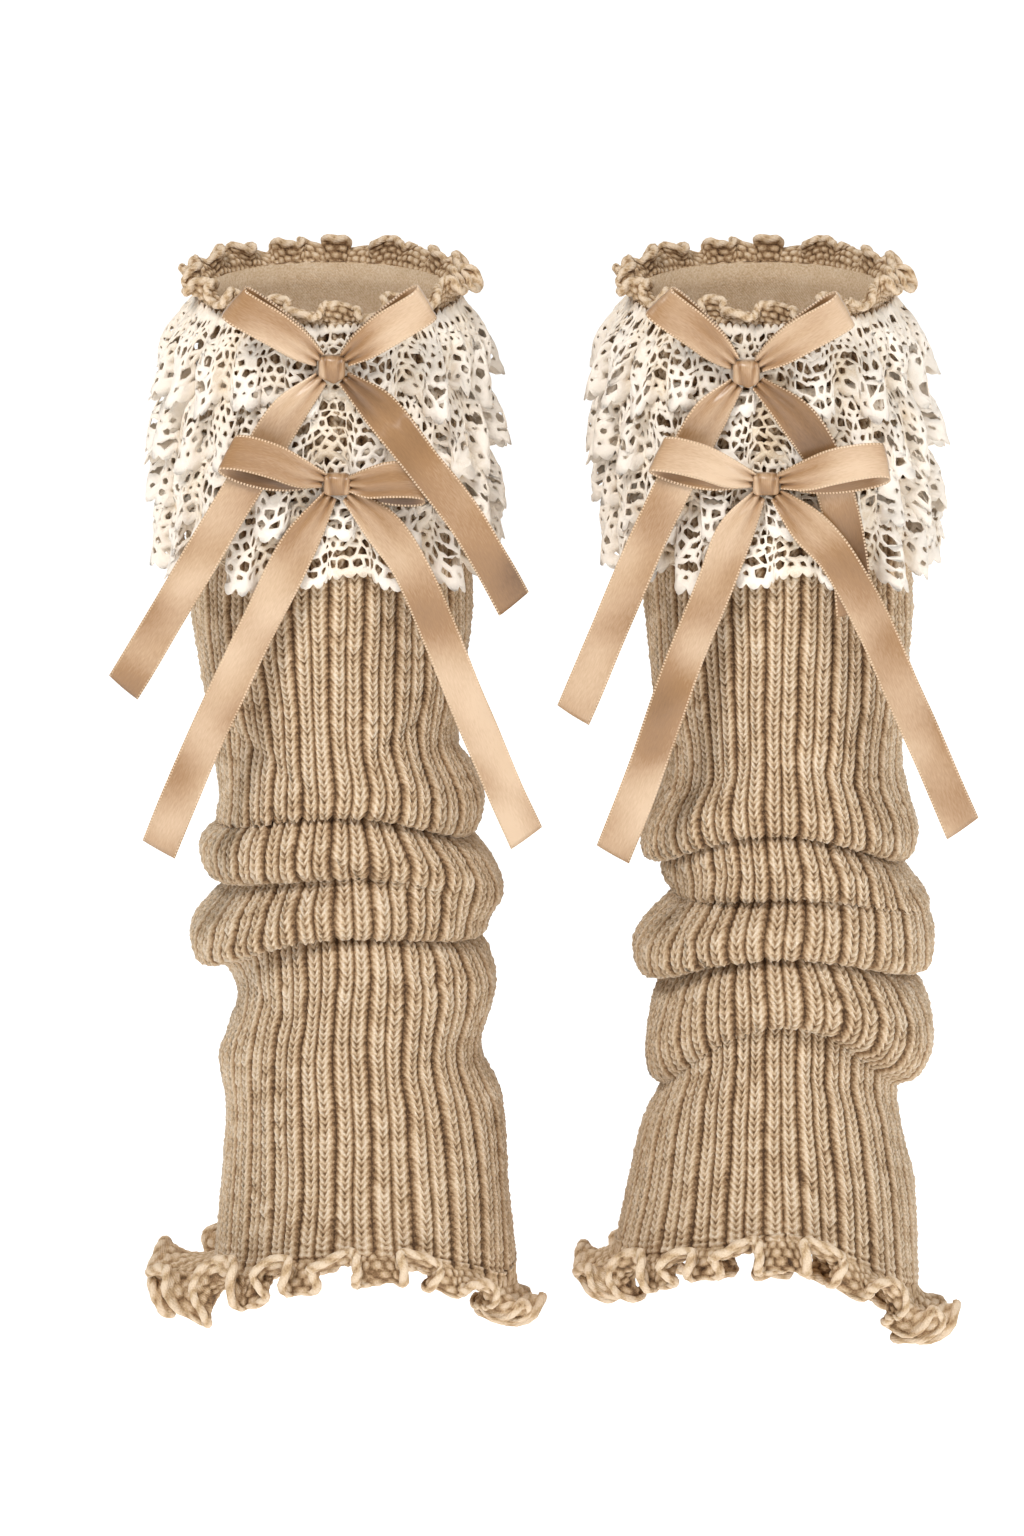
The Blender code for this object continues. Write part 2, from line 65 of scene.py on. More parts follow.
LEFT_SECTIONS = table(
    Section,
    (50, 50, 50, 51, -9, -9, -9.5, -9),  # upper edge
    (52, 52, 52, 54, -45, -45, -45, -45),
    (55, 55, 54, 57, -95, -95, -95, -95),
    (55, 56, 55, 57, -139, -139, -139, -139),  # below the lace
    (49, 53, 53, 54, -172, -172, -170, -172),
    (45.5, 51, 53, 53, -195, -193, -188, -194),
    (43.5, 60.5, 58, 58, -219, -218, -203, -216),  # fold 1
    (43.5, 58.5, 57.5, 58, -228, -232, -213.5, -229),
    (42, 49.5, 49, 51, -230, -231.5, -213, -228.5),  # crease 1
    (47, 60, 56, 57, -234, -240, -221, -237),
    (50.5, 68.5, 59, 60, -239.5, -253, -230, -248),  # fold 2
    (48.5, 68.5, 58, 58.5, -250, -260, -237.5, -256.5),
    (38.5, 66.5, 53, 54, -252.5, -265, -241, -260),  # crease 2, left and front
    (54, 64, 60, 61, -273, -269, -253, -274),  # fold 3
    (53, 61.5, 59, 60, -286, -274, -263.5, -285),
    (42, 53, 49.5, 50, -287, -273.5, -263, -285),  # crease 3
    (37.5, 61.5, 56, 56.5, -295, -281.5, -271, -294),
    (36, 66, 58.5, 59, -306, -296.5, -284, -307),  # fold 4
    (43, 60.5, 58, 57, -324, -324, -312, -326),
    (41, 68, 63, 58, -347, -346, -338, -348),
    (41.5, 71.5, 71, 59, -376, -378, -366, -380),
    (45, 74.5, 79, 62, -409, -414, -391.5, -417),  # hem
)
RIGHT_SECTIONS = table(
    Section,
    (50, 50, 50, 51, -9, -9, -9.5, -9),  # upper edge
    (52, 53, 52, 54, -45, -45, -45, -45),
    (50, 58, 54, 57, -95, -95, -95, -95),
    (46.5, 59, 55, 57, -139, -139, -139, -139),  # below the lace
    (42.5, 57.5, 53, 54, -170, -170, -168, -170),
    (37.5, 56, 53, 53, -206, -206, -195, -204),
    (47, 61.5, 58, 58, -232, -232, -211.5, -229),  # fold 1
    (46, 59.5, 57.5, 58, -242, -243, -221, -240),
    (40, 50.5, 49, 51, -243.5, -242.5, -220.5, -239.5),  # crease 1
    (39, 56.5, 56, 56.5, -247, -249, -228, -246),
    (38, 62, 58.5, 58.5, -251, -256, -237, -253),  # fold 2
    (36.5, 66, 57, 58, -256, -263, -247.5, -260),
    (34, 67, 50.5, 54, -259.5, -267.5, -249, -262),  # crease 2, left and front
    (49.8, 69, 60, 61, -279, -276, -262, -276),  # fold 3
    (48, 66, 59, 60, -291, -289, -272, -288),
    (35.5, 53, 49.5, 51, -291, -288.5, -271.5, -288),  # crease 3
    (42, 64, 58, 58, -302, -300, -280, -298),
    (45, 68.5, 61, 61, -320, -320, -291, -316),  # fold 4
    (43.5, 64, 60, 59, -334, -334, -299.5, -330),
    (39.5, 53.5, 54, 53, -338.5, -338.5, -302, -334.5),  # crease 4
    (46, 56, 61, 56, -356, -356, -336, -354),
    (52, 61, 70, 58, -379, -382, -364, -380),
    (58, 62, 78, 62, -405, -420, -386.5, -419),  # hem
)
LACED_SECTIONS = 4  # the straight sections that the lace hangs over

# Smaller creases, pressed into the form: where the middle lies (degrees round from the right side,
# with the front at -90, and height), half its length, half its width, depth, and how much it
# drops over each millimetre to the right
Crease = namedtuple("Crease", "turn height reach tall depth tilt")

LEFT_CREASES = table(
    Crease,
    (-118, -196, 26, 5, 2.2, 0.5),
    (-60, -186, 22, 5.5, 1.8, -0.6),
    (-82, -236, 18, 3.4, 2.4, 0.7),
    (-128, -263, 22, 4, 2, -0.5),
    (-48, -284, 20, 4.5, 2.2, 0.5),
    (-106, -303, 30, 6, 2.4, 0.35),
    (-70, -330, 26, 7, 1.8, -0.4),
    (15, -205, 24, 5, 2, 0.5),
    (70, -190, 26, 6, 2.2, -0.5),
    (120, -308, 28, 6, 2.4, 0.4),
    (170, -322, 22, 6, 2, -0.5),
)
RIGHT_CREASES = table(
    Crease,
    (-112, -202, 24, 5, 2, -0.5),
    (-56, -200, 24, 6, 2, 0.5),
    (-75, -243, 20, 3.4, 2.2, -0.5),
    (-125, -272, 20, 4, 2, 0.5),
    (-60, -284, 22, 4, 2, 0.4),
    (-115, -322, 26, 6, 2.2, -0.4),
    (-62, -326, 24, 6, 2.2, 0.4),
    (20, -215, 22, 5, 2, -0.5),
    (80, -198, 26, 6, 2.2, 0.5),
    (110, -345, 26, 6, 2.2, -0.4),
    (165, -225, 20, 5, 2, 0.4),
)

# Where the slouch turns the ribs aside: height, and degrees round the calf
LEFT_TURNS = (
    (-9, 0), (-150, 0), (-205, 1), (-232, -0.9), (-262, 1.6), (-290, 0.2), (-420, -0.8),
)
RIGHT_TURNS = (
    (-9, 0), (-150, 0), (-210, -1), (-240, 1), (-268, -1.4), (-300, 0.6), (-340, -0.3),
    (-420, 0.9),
)

# The stitches of the rib. A repeat is one purl groove and two knit wales, whose stitches are
# small Vs. One row for each line of points down the cloth: its place in the repeat, its height
# over the tube's form, how much lower it lies between two courses, and how far a course hangs
# down there, in courses
RIB_COUNT = 24
COURSE = 2.85  # height of one course of stitches
LINES_PER_COURSE = 2
Line = namedtuple("Line", "place height dip hang")

RIB_LINES = table(
    Line,
    (0, -0.1, 0.85, -0.7),  # the groove's middle, with its purl bumps
    (0.08, 1, 0.6, -0.7),
    (0.185, 1.95, 0.65, -0.1),
    (0.29, 1.35, 1.1, 0.65),  # the foot of the Vs
    (0.395, 1.95, 0.65, -0.1),
    (0.5, 0.25, 0.5, -0.7),  # between the two wales
    (0.605, 1.95, 0.65, -0.1),
    (0.71, 1.35, 1.1, 0.65),
    (0.815, 1.95, 0.65, -0.1),
    (0.92, 1, 0.6, -0.7),
)
STRAIGHT_COURSES = 4  # over which the Vs flatten at the tube's two edges
STITCH_JITTER = 0.16
UNDERSIDE_SHADE = 0.05  # painted shade: how much browner the undersides of the folds are painted
WALE_TOP = 1.95  # the relief that is palest, with no painted shade
WALE_DEPTH = 1.9  # from there down to the brownest painted shade
RIB_SWAY = 0.3
INNER_SHARE = 3  # outer columns for each inner one
INNER_ROWS = 48
INNER_HOLLOW = 0.3  # how brown the plain inside is
MEASURED_ROWS = 400  # of the plain form, for its length

# Crochet frills, worked on both edges: the waves round the edge and the smaller ones, how far in
# radians the outward waves curl back, the share of a wave that isn't curled outwards, how far
# waves bulge past their own feet, their length over the straight distance, the arches of the
# free edge and how far they stand out, the stitches of the rope round it, the rope's radius,
# and the lines of points down and round the frill
Frill = namedtuple(
    "Frill", "waves ripples curl inward bulge slack arches arch stitches rope rows columns"
)
TOP_FRILL = Frill(15, 34, 2.1, 0.42, 0.6, 1.1, 29, 0.3, 116, 1.6, 17, 520)
HEM_FRILL = Frill(15, 34, 3.7, 0.42, 0.9, 1.2, 56, 0.05, 156, 2.0, 26, 480)
ROUND = 3.3  # height of a round of the hem's crochet
FRILL_HALF = 1.1
CURL_REACH = 18.0  # a frill longer than this curls back less
STITCH_HEAD = 1.25  # how far a stitch stands out
FRILL_LAP = 2.6  # by which a frill's first round laps over the tube's edge, on average
FRILL_STAND = 0.25  # how far out of the tube's form that round lies

# How far something stands out at each side, and for a frill then how far it drops or rises
Sides = namedtuple("Sides", "left right front back")
LEFT_HEM_SIDES = (Sides(25.0, -5.0, 10.0, 8.0), Sides(10.0, 19.0, 6.0, 15.0))
RIGHT_HEM_SIDES = (Sides(11.0, 4.0, 10.0, 8.0), Sides(15.5, 21.5, 6.0, 15.0))
TOP_FRILL_SIDES = (Sides(6.0, 6.0, 5.0, 5.0), Sides(9.0, 9.0, 6.4, 8.0))

# Lace flounces: where each is sewn on, and where its points end
Tier = namedtuple("Tier", "top bottom")
TIERS = (Tier(-13.0, -43.0), Tier(-38.0, -70.0), Tier(-63.0, -94.0), Tier(-84.0, -114.0))
LACE_WAVES = 19
LACE_RIPPLES = 43
LACE_CROWD = 3.5  # radians by which the waves crowd towards the two sides
LACE_STAND = 2.9  # from the tube's form to the lace's middle where it is sewn on
LACE_FLARE = Sides(9.0, 7.0, 3.5, 9.0)
LACE_WAVE = Sides(7.0, 7.0, 1.7, 6.0)
LACE_BULGE = 0.6
# Where the larger lobes of each flounce hang, in degrees, and how far they reach
LACE_LOBES = ((-132.0, -48.0), (-154.0, -30.0), (-140.0, -58.0), (-122.0, -42.0))
LOBE_WIDTH = 11.0
LOBE_DROP = 4.5
LOBE_OUT = 3.0
LACE_CURL = 3.4
LACE_HANG = 4.2  # how much lower the outward waves hang
LACE_HALF = 0.55
SCALLOPS = 28
SCALLOP_DEPTH = 2.6
PICOT = 2.1
CROWN = 0.9  # how tall the top flounce's upper edge is scalloped, in picots
LACE_STEP = 0.004  # by which the layer's slopes are taken
GATHERS = 63
GATHER_DEPTH = 0.7

# The net: cells round a flounce, their width when flat, and how far they crowd to the sides
LACE_CELLS = 140
CELL_WIDTH = 3.6
CELL_CROWD = 0.15
CELL_JITTER = 0.2
CELL_JITTER_DOWN = CELL_JITTER * 3.4
STRAND_BESIDE = 0.9  # how much thicker the strands are at the two sides
STRAND_UNEVEN = (0.6, 1.65)
HOLE_THICK = 0.4  # the thread's thickness along a hole, over that of its middle
EDGE_THICK = 0.55
CELL_POINT = 0.55  # how far a cell's points stand up and down from its corners
ROUNDNESS = 0.6  # how far the holes are rounded, from 0 to 1
SOLID_CELLS = 0.04  # share of the cells that are worked solid

# A lace strip's rows of cells, from where it is sewn on: height, half the width of the strands
# round the holes, or none in a plain row, and the share of holes that run into the next one
Row = namedtuple("Row", "tall strand joined")
LACE_ROWS = table(
    Row,
    (1.8, 0, 0),
    (2.8, 0.8, 0.05),
    (3.8, 0.72, 0.15),
    (3, 0.8, 0.1),
    (4.2, 0.72, 0.2),
    (3.2, 0.78, 0.1),
    (4.2, 0.75, 0.2),
    (4.2, 0.85, 0.05),
    (1.9, 0, 0),
)
TOP_LACE_ROWS = table(
    Row,
    (1.6, 0, 0),
    (3.8, 0.7, 0.6),
    (2.4, 0.85, 0),
    (2.4, 0.85, 0),
    (4.2, 0.72, 0.2),
    (3.2, 0.8, 0.1),
    (4.2, 0.75, 0.2),
    (4, 0.85, 0.05),
    (1.9, 0, 0),
)

# Satin ribbon, tied in two bows on each front
RIBBON_WIDTH = 15.0
RIBBON_THICKNESS = 0.5
RIBBON_COLUMNS = 13
PINCH = 0.42  # share of its width that a ribbon keeps at the knot
PLEAT_DEPTH = 1.2
PLEAT_FADE = 12.0
RIBBON_RIPPLE = 1.2
RIBBON_CUP = 0.5  # how far its edges turn back
KNOT_DEPTH = 6.5
KNOT_WAIST = 0.08
KNOT_BULGE = 0.9
KNOT_ROWS = 30
KNOT_COLUMNS = 56
Fold = namedtuple("Fold", "place width depth lean")
KNOT_FOLDS = table(
    Fold,
    (-0.42, 0.15, 0.95, -0.12),
    (0.08, 0.12, 0.7, 0.1),
    (0.5, 0.15, 0.85, 0.15),
)
KNOT_COVER = 1.2  # how far under the knot's edge a ribbon starts
LOOP_ROWS = 56
TAIL_ROWS = 64
TAIL_STAGGER = (-0.75, 0.75)  # how far out of the knot's middle the two tails start
TAIL_CUT = 1.6  # how far a tail's end is slanted, to each side
CUT_REACH = 12.0  # over which the slant grows
SHADED_TAIL = ("upper_bow", "right")  # it lies turned from the light
TAIL_SHADE = 0.2
LOOP_BELLY = 5.5
LOOP_BOW = 1.5  # how far a loop arches upwards on its way out
Knot = namedtuple("Knot", "across height out width tall tongue")

# A bow's knot, how much lower each loop's back layer lies than its face, where its two loops
# end, and what its two tails pass through. A place is how far across, how high and how far out
Bow = namedtuple("Bow", "name knot sags loops tails")

# One row for each point of a loop, from the knot out along its face and back behind it
Course = namedtuple("Course", "along lift width")
LOOP_COURSE = table(
    Course,
    (0, 0.28, PINCH),
    (0.22, 0.75, 0.8),
    (0.5, 1, 0.97),
    (0.8, 1, 1),
    (0.96, 0.82, 1),
    (1, 0.5, 1),
    (0.96, 0.16, 1),
    (0.8, 0, 1),
    (0.5, 0, 0.97),
    (0.22, 0, 0.8),
    (0, 0, PINCH),
)

LEFT_BOWS = (
    Bow(
        "upper_bow",
        Knot(1.8, -26.8, 61.5, 11.7, 9.7, 1.8),
        (-2.5, -2.5),
        ((-37.5, 0, 64), (40, 0, 64)),
        (
            (
                (-16.4, -46, 63.6), (-33, -74, 64), (-50, -103, 64.5),
                (-66, -131, 64), (-82.4, -159.5, 61),
            ),
            ((20.5, -43, 66), (40, -66, 74.5), (55, -86, 75.5), (66, -105, 73.5), (75, -123, 70)),
        ),
    ),
    Bow(
        "lower_bow",
        Knot(3.8, -74.5, 63.9, 11.7, 9, 0),
        (6, 4),
        ((-40.5, -58, 67), (39, -71.5, 66)),
        (
            (
                (-11.5, -99.5, 65), (-27, -131, 65.5), (-46, -172, 65),
                (-60, -205, 63.5), (-68.4, -227, 61),
            ),
            (
                (21, -91, 66), (33, -108, 66.5), (45, -136, 66),
                (57.5, -168, 65), (71, -201, 63.5), (80, -222, 62),
            ),
        ),
    ),
)
RIGHT_BOWS = (
    Bow(
        "upper_bow",
        Knot(-6.9, -28.8, 61.7, 11.7, 9.7, 1.5),
        (-2.5, -2.5),
        ((-42, 0.5, 64), (32.8, -2.8, 64)),
        (
            (
                (-21.9, -47, 63.6), (-36, -75, 64), (-50, -106, 64.5),
                (-63, -138, 64), (-76.3, -171, 61),
            ),
            ((13, -47, 65), (24, -64, 63.9), (31, -86, 63.2), (35, -107, 63), (37, -128, 62.5)),
        ),
    ),
    Bow(
        "lower_bow",
        Knot(1.2, -74.5, 63.4, 11.7, 9, 0),
        (4.5, 5),
        ((-42.7, -59, 67), (49.4, -61.6, 67)),
        (
            (
                (-11, -94, 65), (-18.6, -114, 65.5), (-33, -151, 65.5),
                (-47, -193, 64), (-60.3, -229, 61),
            ),
            (
                (17.5, -91, 66.5), (30, -105, 67), (44, -131, 66.5),
                (58, -164, 65), (70.5, -193, 63.5), (80.8, -218, 62),
            ),
        ),
    ),
)

# All that differs between the two leg warmers
Form = namedtuple("Form", "sections creases turns hem_sides bows")
LEFT_FORM = Form(LEFT_SECTIONS, LEFT_CREASES, LEFT_TURNS, LEFT_HEM_SIDES, LEFT_BOWS)
RIGHT_FORM = Form(RIGHT_SECTIONS, RIGHT_CREASES, RIGHT_TURNS, RIGHT_HEM_SIDES, RIGHT_BOWS)

# The camera: the photograph's height in millimetres, what its centre looks at, and from where
FRAME_HEIGHT = 622.0
VIEW_CENTRE = (-13.4, 0.0, -208.0)
VIEW_ELEVATION = 14.0
VIEW_DISTANCE = 12000.0
FLOOR_HEIGHT = -520.0


def linear(colour):
    """The linear values of an sRGB hex colour, with full cover."""
    values = [int(colour[i : i + 2], 16) / 255 for i in (0, 2, 4)]
    return [v / 12.92 if v <= 0.04045 else ((v + 0.055) / 1.055) ** 2.4 for v in values] + [1.0]


def fill(node, inputs):
    """Gives a node's inputs, in order or by name, their values or other nodes' outputs."""
    for key, value in inputs.items() if isinstance(inputs, dict) else enumerate(inputs):
        if isinstance(value, bpy.types.NodeSocket):
            node.id_data.links.new(value, node.inputs[key])
        else:
            node.inputs[key].default_value = value


def add(tree, kind, inputs=(), out=0, stops=(), **settings):
    """Adds a node and gives one of its outputs. Inputs are as in fill(), stops are a colour
    ramp's (place, hex colour), and the rest are its settings."""
    node = tree.nodes.new("ShaderNode" + kind)
    for name, value in settings.items():
        setattr(node, name, value)
    fill(node, inputs)
    for number, (place, colour) in enumerate(stops):
        band = node.color_ramp.elements
        stop = band[number] if number < 2 else band.new(place)
        stop.position = place
        stop.color = linear(colour)
    return node.outputs[out]


def finish(name, values):
    """A new material of this name: itself, its node tree and its shader."""
    made = bpy.data.materials.new(name)
    made.use_nodes = True
    shader = made.node_tree.nodes["Principled BSDF"]
    fill(shader, values)
    return made, made.node_tree, shader


def mottle(tree, grain, patch, shares, shift, stops):
    """A colour down a ramp: the painted shade at a place, plus shares of a fine grain and of a
    patchy one, less a shift."""
    painted_shade = add(tree, "Attribute", attribute_name="painted_shade", out="Fac")
    grained = add(tree, "Math", (grain, shares[0], painted_shade), operation="MULTIPLY_ADD")
    tone = add(tree, "Math", (patch, shares[1], grained), operation="MULTIPLY_ADD")
    if shift:
        tone = add(tree, "Math", (tone, shift), operation="SUBTRACT")
    return add(tree, "ValToRGB", (tone,), stops=stops)


def yarn(name, stops, slant_across, slant_down):
    """Cotton and acrylic yarn, spun in plies, then knitted or crocheted. It is matt and a
    little hairy, with painted shade from pale where a stitch stands out to brown down in the
    gaps between stitches, and the slanted lines of the plies along each strand."""
    values = {"Roughness": 0.92, "IOR": 1.5, "Sheen Weight": 0.12, "Sheen Roughness": 0.6}
    values["Sheen Tint"] = linear("E6C7A0")
    made, tree, shader = finish(name, values)
    place = add(tree, "TexCoord", out="Object")
    # Fibres are about 0.02 mm thick, and the noise is drawn at 0.8 mm so that it shows
    fibre = add(tree, "TexNoise", {"Vector": place, "Scale": 1 / (0.8 * MM), "Detail": 4.0})
    patch = add(tree, "TexNoise", {"Vector": place, "Scale": 1 / (9.0 * MM), "Detail": 2.0})
    tone = mottle(tree, fibre, patch, (0.75, 0.25), 0.5, stops)
    # Plies 1.2 mm apart
    stitches = add(tree, "UVMap", uv_map="stitches")
    lean = (slant_across * 2 * math.pi, slant_down * 2 * math.pi, 0.0)
    along = add(tree, "VectorMath", (stitches, lean), operation="DOT_PRODUCT", out="Value")
    ply = add(tree, "Math", (along,), operation="SINE")
    height = add(tree, "Math", (ply, 0.22, fibre), operation="MULTIPLY_ADD")
    bump = add(tree, "Bump", {"Strength": 0.7, "Distance": 0.45 * MM, "Height": height})
    fill(shader, {"Base Color": tone, "Normal": bump})
    return made


def lace_cotton():
    """Cotton lace, worked from thick thread and washed: matt and cream, with painted shade of
    the colour of raw cotton in its folds and along the edges of its holes."""
    values = {"Roughness": 0.88, "IOR": 1.5, "Sheen Weight": 0.12, "Sheen Roughness": 0.5}
    made, tree, shader = finish("cotton_lace", values)
    place = add(tree, "TexCoord", out="Object")
    # Threads are 0.4 mm thick, drawn as a 0.7 mm grain so that they show
    thread = add(tree, "TexNoise", {"Vector": place, "Scale": 1 / (0.7 * MM), "Detail": 3.0})
    patch = add(tree, "TexNoise", {"Vector": place, "Scale": 1 / (12.0 * MM), "Detail": 2.0})
    stops = ((0.0, "F8EEE1"), (0.3, "F1E4D2"), (0.6, "DFCAAD"), (1.0, "AF8F69"))
    tone = mottle(tree, thread, patch, (0.5, 0.9), 0.76, stops)
    bump = add(tree, "Bump", {"Strength": 0.8, "Distance": 0.35 * MM, "Height": thread})
    fill(shader, {"Base Color": tone, "Normal": bump})
    return made


def satin():
    """Polyester satin ribbon, woven with long floats and stitched along both edges: a soft
    gloss that brightens where it bends, a fine slanted grain, and a paler line of edge
    stitches."""
    values = {"Roughness": 0.28, "IOR": 1.5, "Sheen Weight": 0.1, "Sheen Roughness": 0.3}
    values |= {"Anisotropic": 0.7, "Coat Weight": 0.12, "Coat Roughness": 0.35}
    made, tree, shader = finish("satin_ribbon", values)
    ribbon_place = add(tree, "UVMap", uv_map="ribbon")
    across = add(tree, "SeparateXYZ", (ribbon_place,))
    axis = (0.0, 1.0, 0.0)
    along = add(tree, "VectorMath", (ribbon_place, axis), operation="DOT_PRODUCT", out="Value")
    # Edge stitches 1.3 mm apart, on the last 0.8 mm of each side
    aside = add(tree, "Math", (across,), operation="ABSOLUTE")
    selvedge = add(tree, "Math", (aside, RIBBON_WIDTH / 2 - 0.8), operation="GREATER_THAN")
    turn = add(tree, "Math", (along, 2 * math.pi / 1.3), operation="MULTIPLY")
    tick = add(tree, "Math", (turn,), operation="SINE")
    crest = add(tree, "Math", (tick, 0.0), operation="GREATER_THAN")
    stitch = add(tree, "Math", (selvedge, crest), operation="MULTIPLY")
    # The floats: a grain slanted across, 0.5 mm apart
    mapping = {"Vector": ribbon_place, "Rotation": (0, 0, 0.7), "Scale": (2.0, 0.35, 1)}
    turned = add(tree, "Mapping", mapping)
    grain = add(tree, "TexNoise", {"Vector": turned, "Scale": 1.0, "Detail": 3.0})
    place = add(tree, "TexCoord", out="Object")
    cloud = add(tree, "TexNoise", {"Vector": place, "Scale": 1 / (30.0 * MM), "Detail": 0.5})
    stops = ((0.34, "D0B394"), (0.5, "B89776"), (0.64, "9C7650"), (1.0, "64462C"))
    cloth = mottle(tree, grain, cloud, (0.22, 0.78), 0.0, stops)
    parts = {0: stitch, 6: cloth, 7: linear("DDC09E")}
    mixed = add(tree, "Mix", parts, out=2, data_type="RGBA")
    height = add(tree, "Math", (stitch, 2.0, grain), operation="MULTIPLY_ADD")
    bump = add(tree, "Bump", {"Strength": 0.35, "Distance": 0.12 * MM, "Height": height})
    fill(shader, {"Base Color": mixed, "Normal": bump})
    return made


def blend(theta, left, right, front, back):
    """A value given at four sides, blended round by the squares of the cosine and the sine."""
    cosine = np.cos(theta)
    sine = np.sin(theta)
    across = np.where(cosine > 0, right, left) * cosine**2
    return across + np.where(sine > 0, back, front) * sine**2


def outward(theta):
    """Unit vectors away from the calf axis."""
    return np.stack([np.cos(theta), np.sin(theta), np.zeros_like(theta)], axis=-1)


def unit(vectors):
    """The vectors at length one."""
    return vectors / np.maximum(np.linalg.norm(vectors, axis=-1, keepdims=True), 1e-9)


def smoothstep(values):
    """0 below 0, 1 above 1, and a soft S between."""
    clipped = np.clip(values, 0.0, 1.0)
    return clipped**2 * (3 - 2 * clipped)


def ellipse(section, theta):
    """A section's ellipse, its height blended between the four sides."""
    x = (section.right - section.left) / 2 + (section.right + section.left) / 2 * np.cos(theta)
    y = (section.back - section.front) / 2 + (section.back + section.front) / 2 * np.sin(theta)
    z = blend(theta, section.left_z, section.right_z, section.front_z, section.back_z)
    return np.stack([x, y, z], axis=-1)


def knit_form(sections, theta):
    """The sections' rings: each an ellipse, strayed by a slow wave that turns from ring to ring.
    Where a section lies off to one side, its points crowd towards the other, by as much as
    keeps the ribs in front upright."""
    rings = []
    for row, section in enumerate(sections):
        aside = (section.right - section.left) / (section.right + section.left)
        crowded = theta + UPRIGHT * aside * np.sin(theta)
        stray = WANDER * np.sin(3 * crowded + WANDER_TURN * row)
        rings.append(ellipse(section, crowded) + stray[:, None] * outward(crowded))
    return np.array(rings)


def through(control, share):
    """Cubic curves through control points (points, curves, values), read at shares (rows,
    curves) of their chord length. The slope at a point is the run between its neighbours."""
    run = np.linalg.norm(np.diff(control[..., :3], axis=0), axis=-1)
    along = np.concatenate([np.zeros_like(run[:1]), np.cumsum(run, axis=0)])
    slope = np.empty_like(control)
    slope[1:-1] = (control[2:] - control[:-2]) / (along[2:] - along[:-2])[..., None]
    slope[0] = (control[1] - control[0]) / run[0][:, None]
    slope[-1] = (control[-1] - control[-2]) / run[-1][:, None]
    target = share * along[-1]
    piece = (target[..., None] >= np.moveaxis(along[1:-1], 0, -1)).sum(axis=-1)
    curve = np.broadcast_to(np.arange(control.shape[1]), piece.shape)
    width = run[piece, curve]
    t = ((target - along[piece, curve]) / width)[..., None]
    width = width[..., None]
    start = (2 * t**3 - 3 * t**2 + 1) * control[piece, curve]
    start = start + (t**3 - 2 * t**2 + t) * width * slope[piece, curve]
    end = (3 * t**2 - 2 * t**3) * control[piece + 1, curve]
    return start + end + (t**3 - t**2) * width * slope[piece + 1, curve]


def pressed(points, theta, creases, turns):
    """The form with its smaller creases, each a soft trough exp(-(along/reach)^2 -
    (off/tall)^2) deep, and then turned about the calf axis as the slouch turns it."""
    reach = np.linalg.norm(points[..., :2], axis=-1)
    inward = np.zeros_like(reach)
    for crease in creases:
        turn = (theta - math.radians(crease.turn) + math.pi) % (2 * math.pi) - math.pi
        along = turn * reach
        off = points[..., 2] - crease.height + crease.tilt * along
        inward += crease.depth * np.exp(-((along / crease.reach) ** 2) - (off / crease.tall) ** 2)
    shrunk = points - inward[..., None] * outward(theta)
    heights, degrees = np.array(turns[::-1]).T
    angle = np.radians(np.interp(points[..., 2], heights, degrees))
    cosine = np.cos(angle)
    sine = np.sin(angle)
    x = shrunk[..., 0] * cosine - shrunk[..., 1] * sine
    y = shrunk[..., 0] * sine + shrunk[..., 1] * cosine
    return np.stack([x, y, shrunk[..., 2]], axis=-1)


def steps_round(grid):
    """The step past each point of a wrapped grid, from its neighbour to the next one round."""
    return np.roll(grid, -1, axis=1) - np.roll(grid, 1, axis=1)


def normals(grid, wrap=True):
    """Outward normals of a grid whose rows run down and columns anticlockwise from above."""
    across = steps_round(grid) if wrap else np.gradient(grid, axis=1)
    return unit(np.cross(np.gradient(grid, axis=0), across))


def cells(rows, columns, wrap):
    """The corner numbers of a grid's cells, facing the side that normals() gives."""
    across = columns if wrap else columns - 1
    row, column = np.meshgrid(np.arange(rows - 1), np.arange(across), indexing="ij")
    after = (column + 1) % columns
    corners = [row * columns + column, (row + 1) * columns + column]
    corners += [(row + 1) * columns + after, row * columns + after]
    return np.stack(corners, axis=-1).reshape(-1, 4)


def new_object(name, data):
    """An object in the scene with this data."""
    obj = bpy.data.objects.new(name, data)
    bpy.context.scene.collection.objects.link(obj)
    return obj


def make_mesh(name, points, faces, material, offset):
    """A piece from points in millimetres about the calf axis at this offset. Faces is a list of
    arrays of corner numbers, each array with its own number of corners."""
    mesh = bpy.data.meshes.new(name)
    placed = (points.reshape(-1, 3) + np.array([offset, 0.0, 0.0])) * MM
    corners = np.concatenate([group.reshape(-1) for group in faces]).astype(np.int32)
    sizes = np.concatenate([np.full(len(group), group.shape[1]) for group in faces])
    mesh.vertices.add(len(placed))
    mesh.vertices.foreach_set("co", placed.astype(np.float32).reshape(-1))
    mesh.loops.add(len(corners))
    mesh.loops.foreach_set("vertex_index", corners)
    mesh.polygons.add(len(sizes))
    starts = np.concatenate([[0], np.cumsum(sizes)[:-1]]).astype(np.int32)
    mesh.polygons.foreach_set("loop_start", starts)
    mesh.update(calc_edges=True)
    mesh.materials.append(material)
    mesh.shade_smooth()
    obj = new_object(name, mesh)
    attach(obj, "root")
    return obj


def used_only(faces):
    """The numbers of the points that the faces use, and the faces numbered by these alone."""
    corners = np.concatenate([group.reshape(-1) for group in faces])
    used, corners = np.unique(corners, return_inverse=True)
    parts = np.split(corners, np.cumsum([group.size for group in faces])[:-1])
    return used, [part.reshape(group.shape) for part, group in zip(parts, faces)]


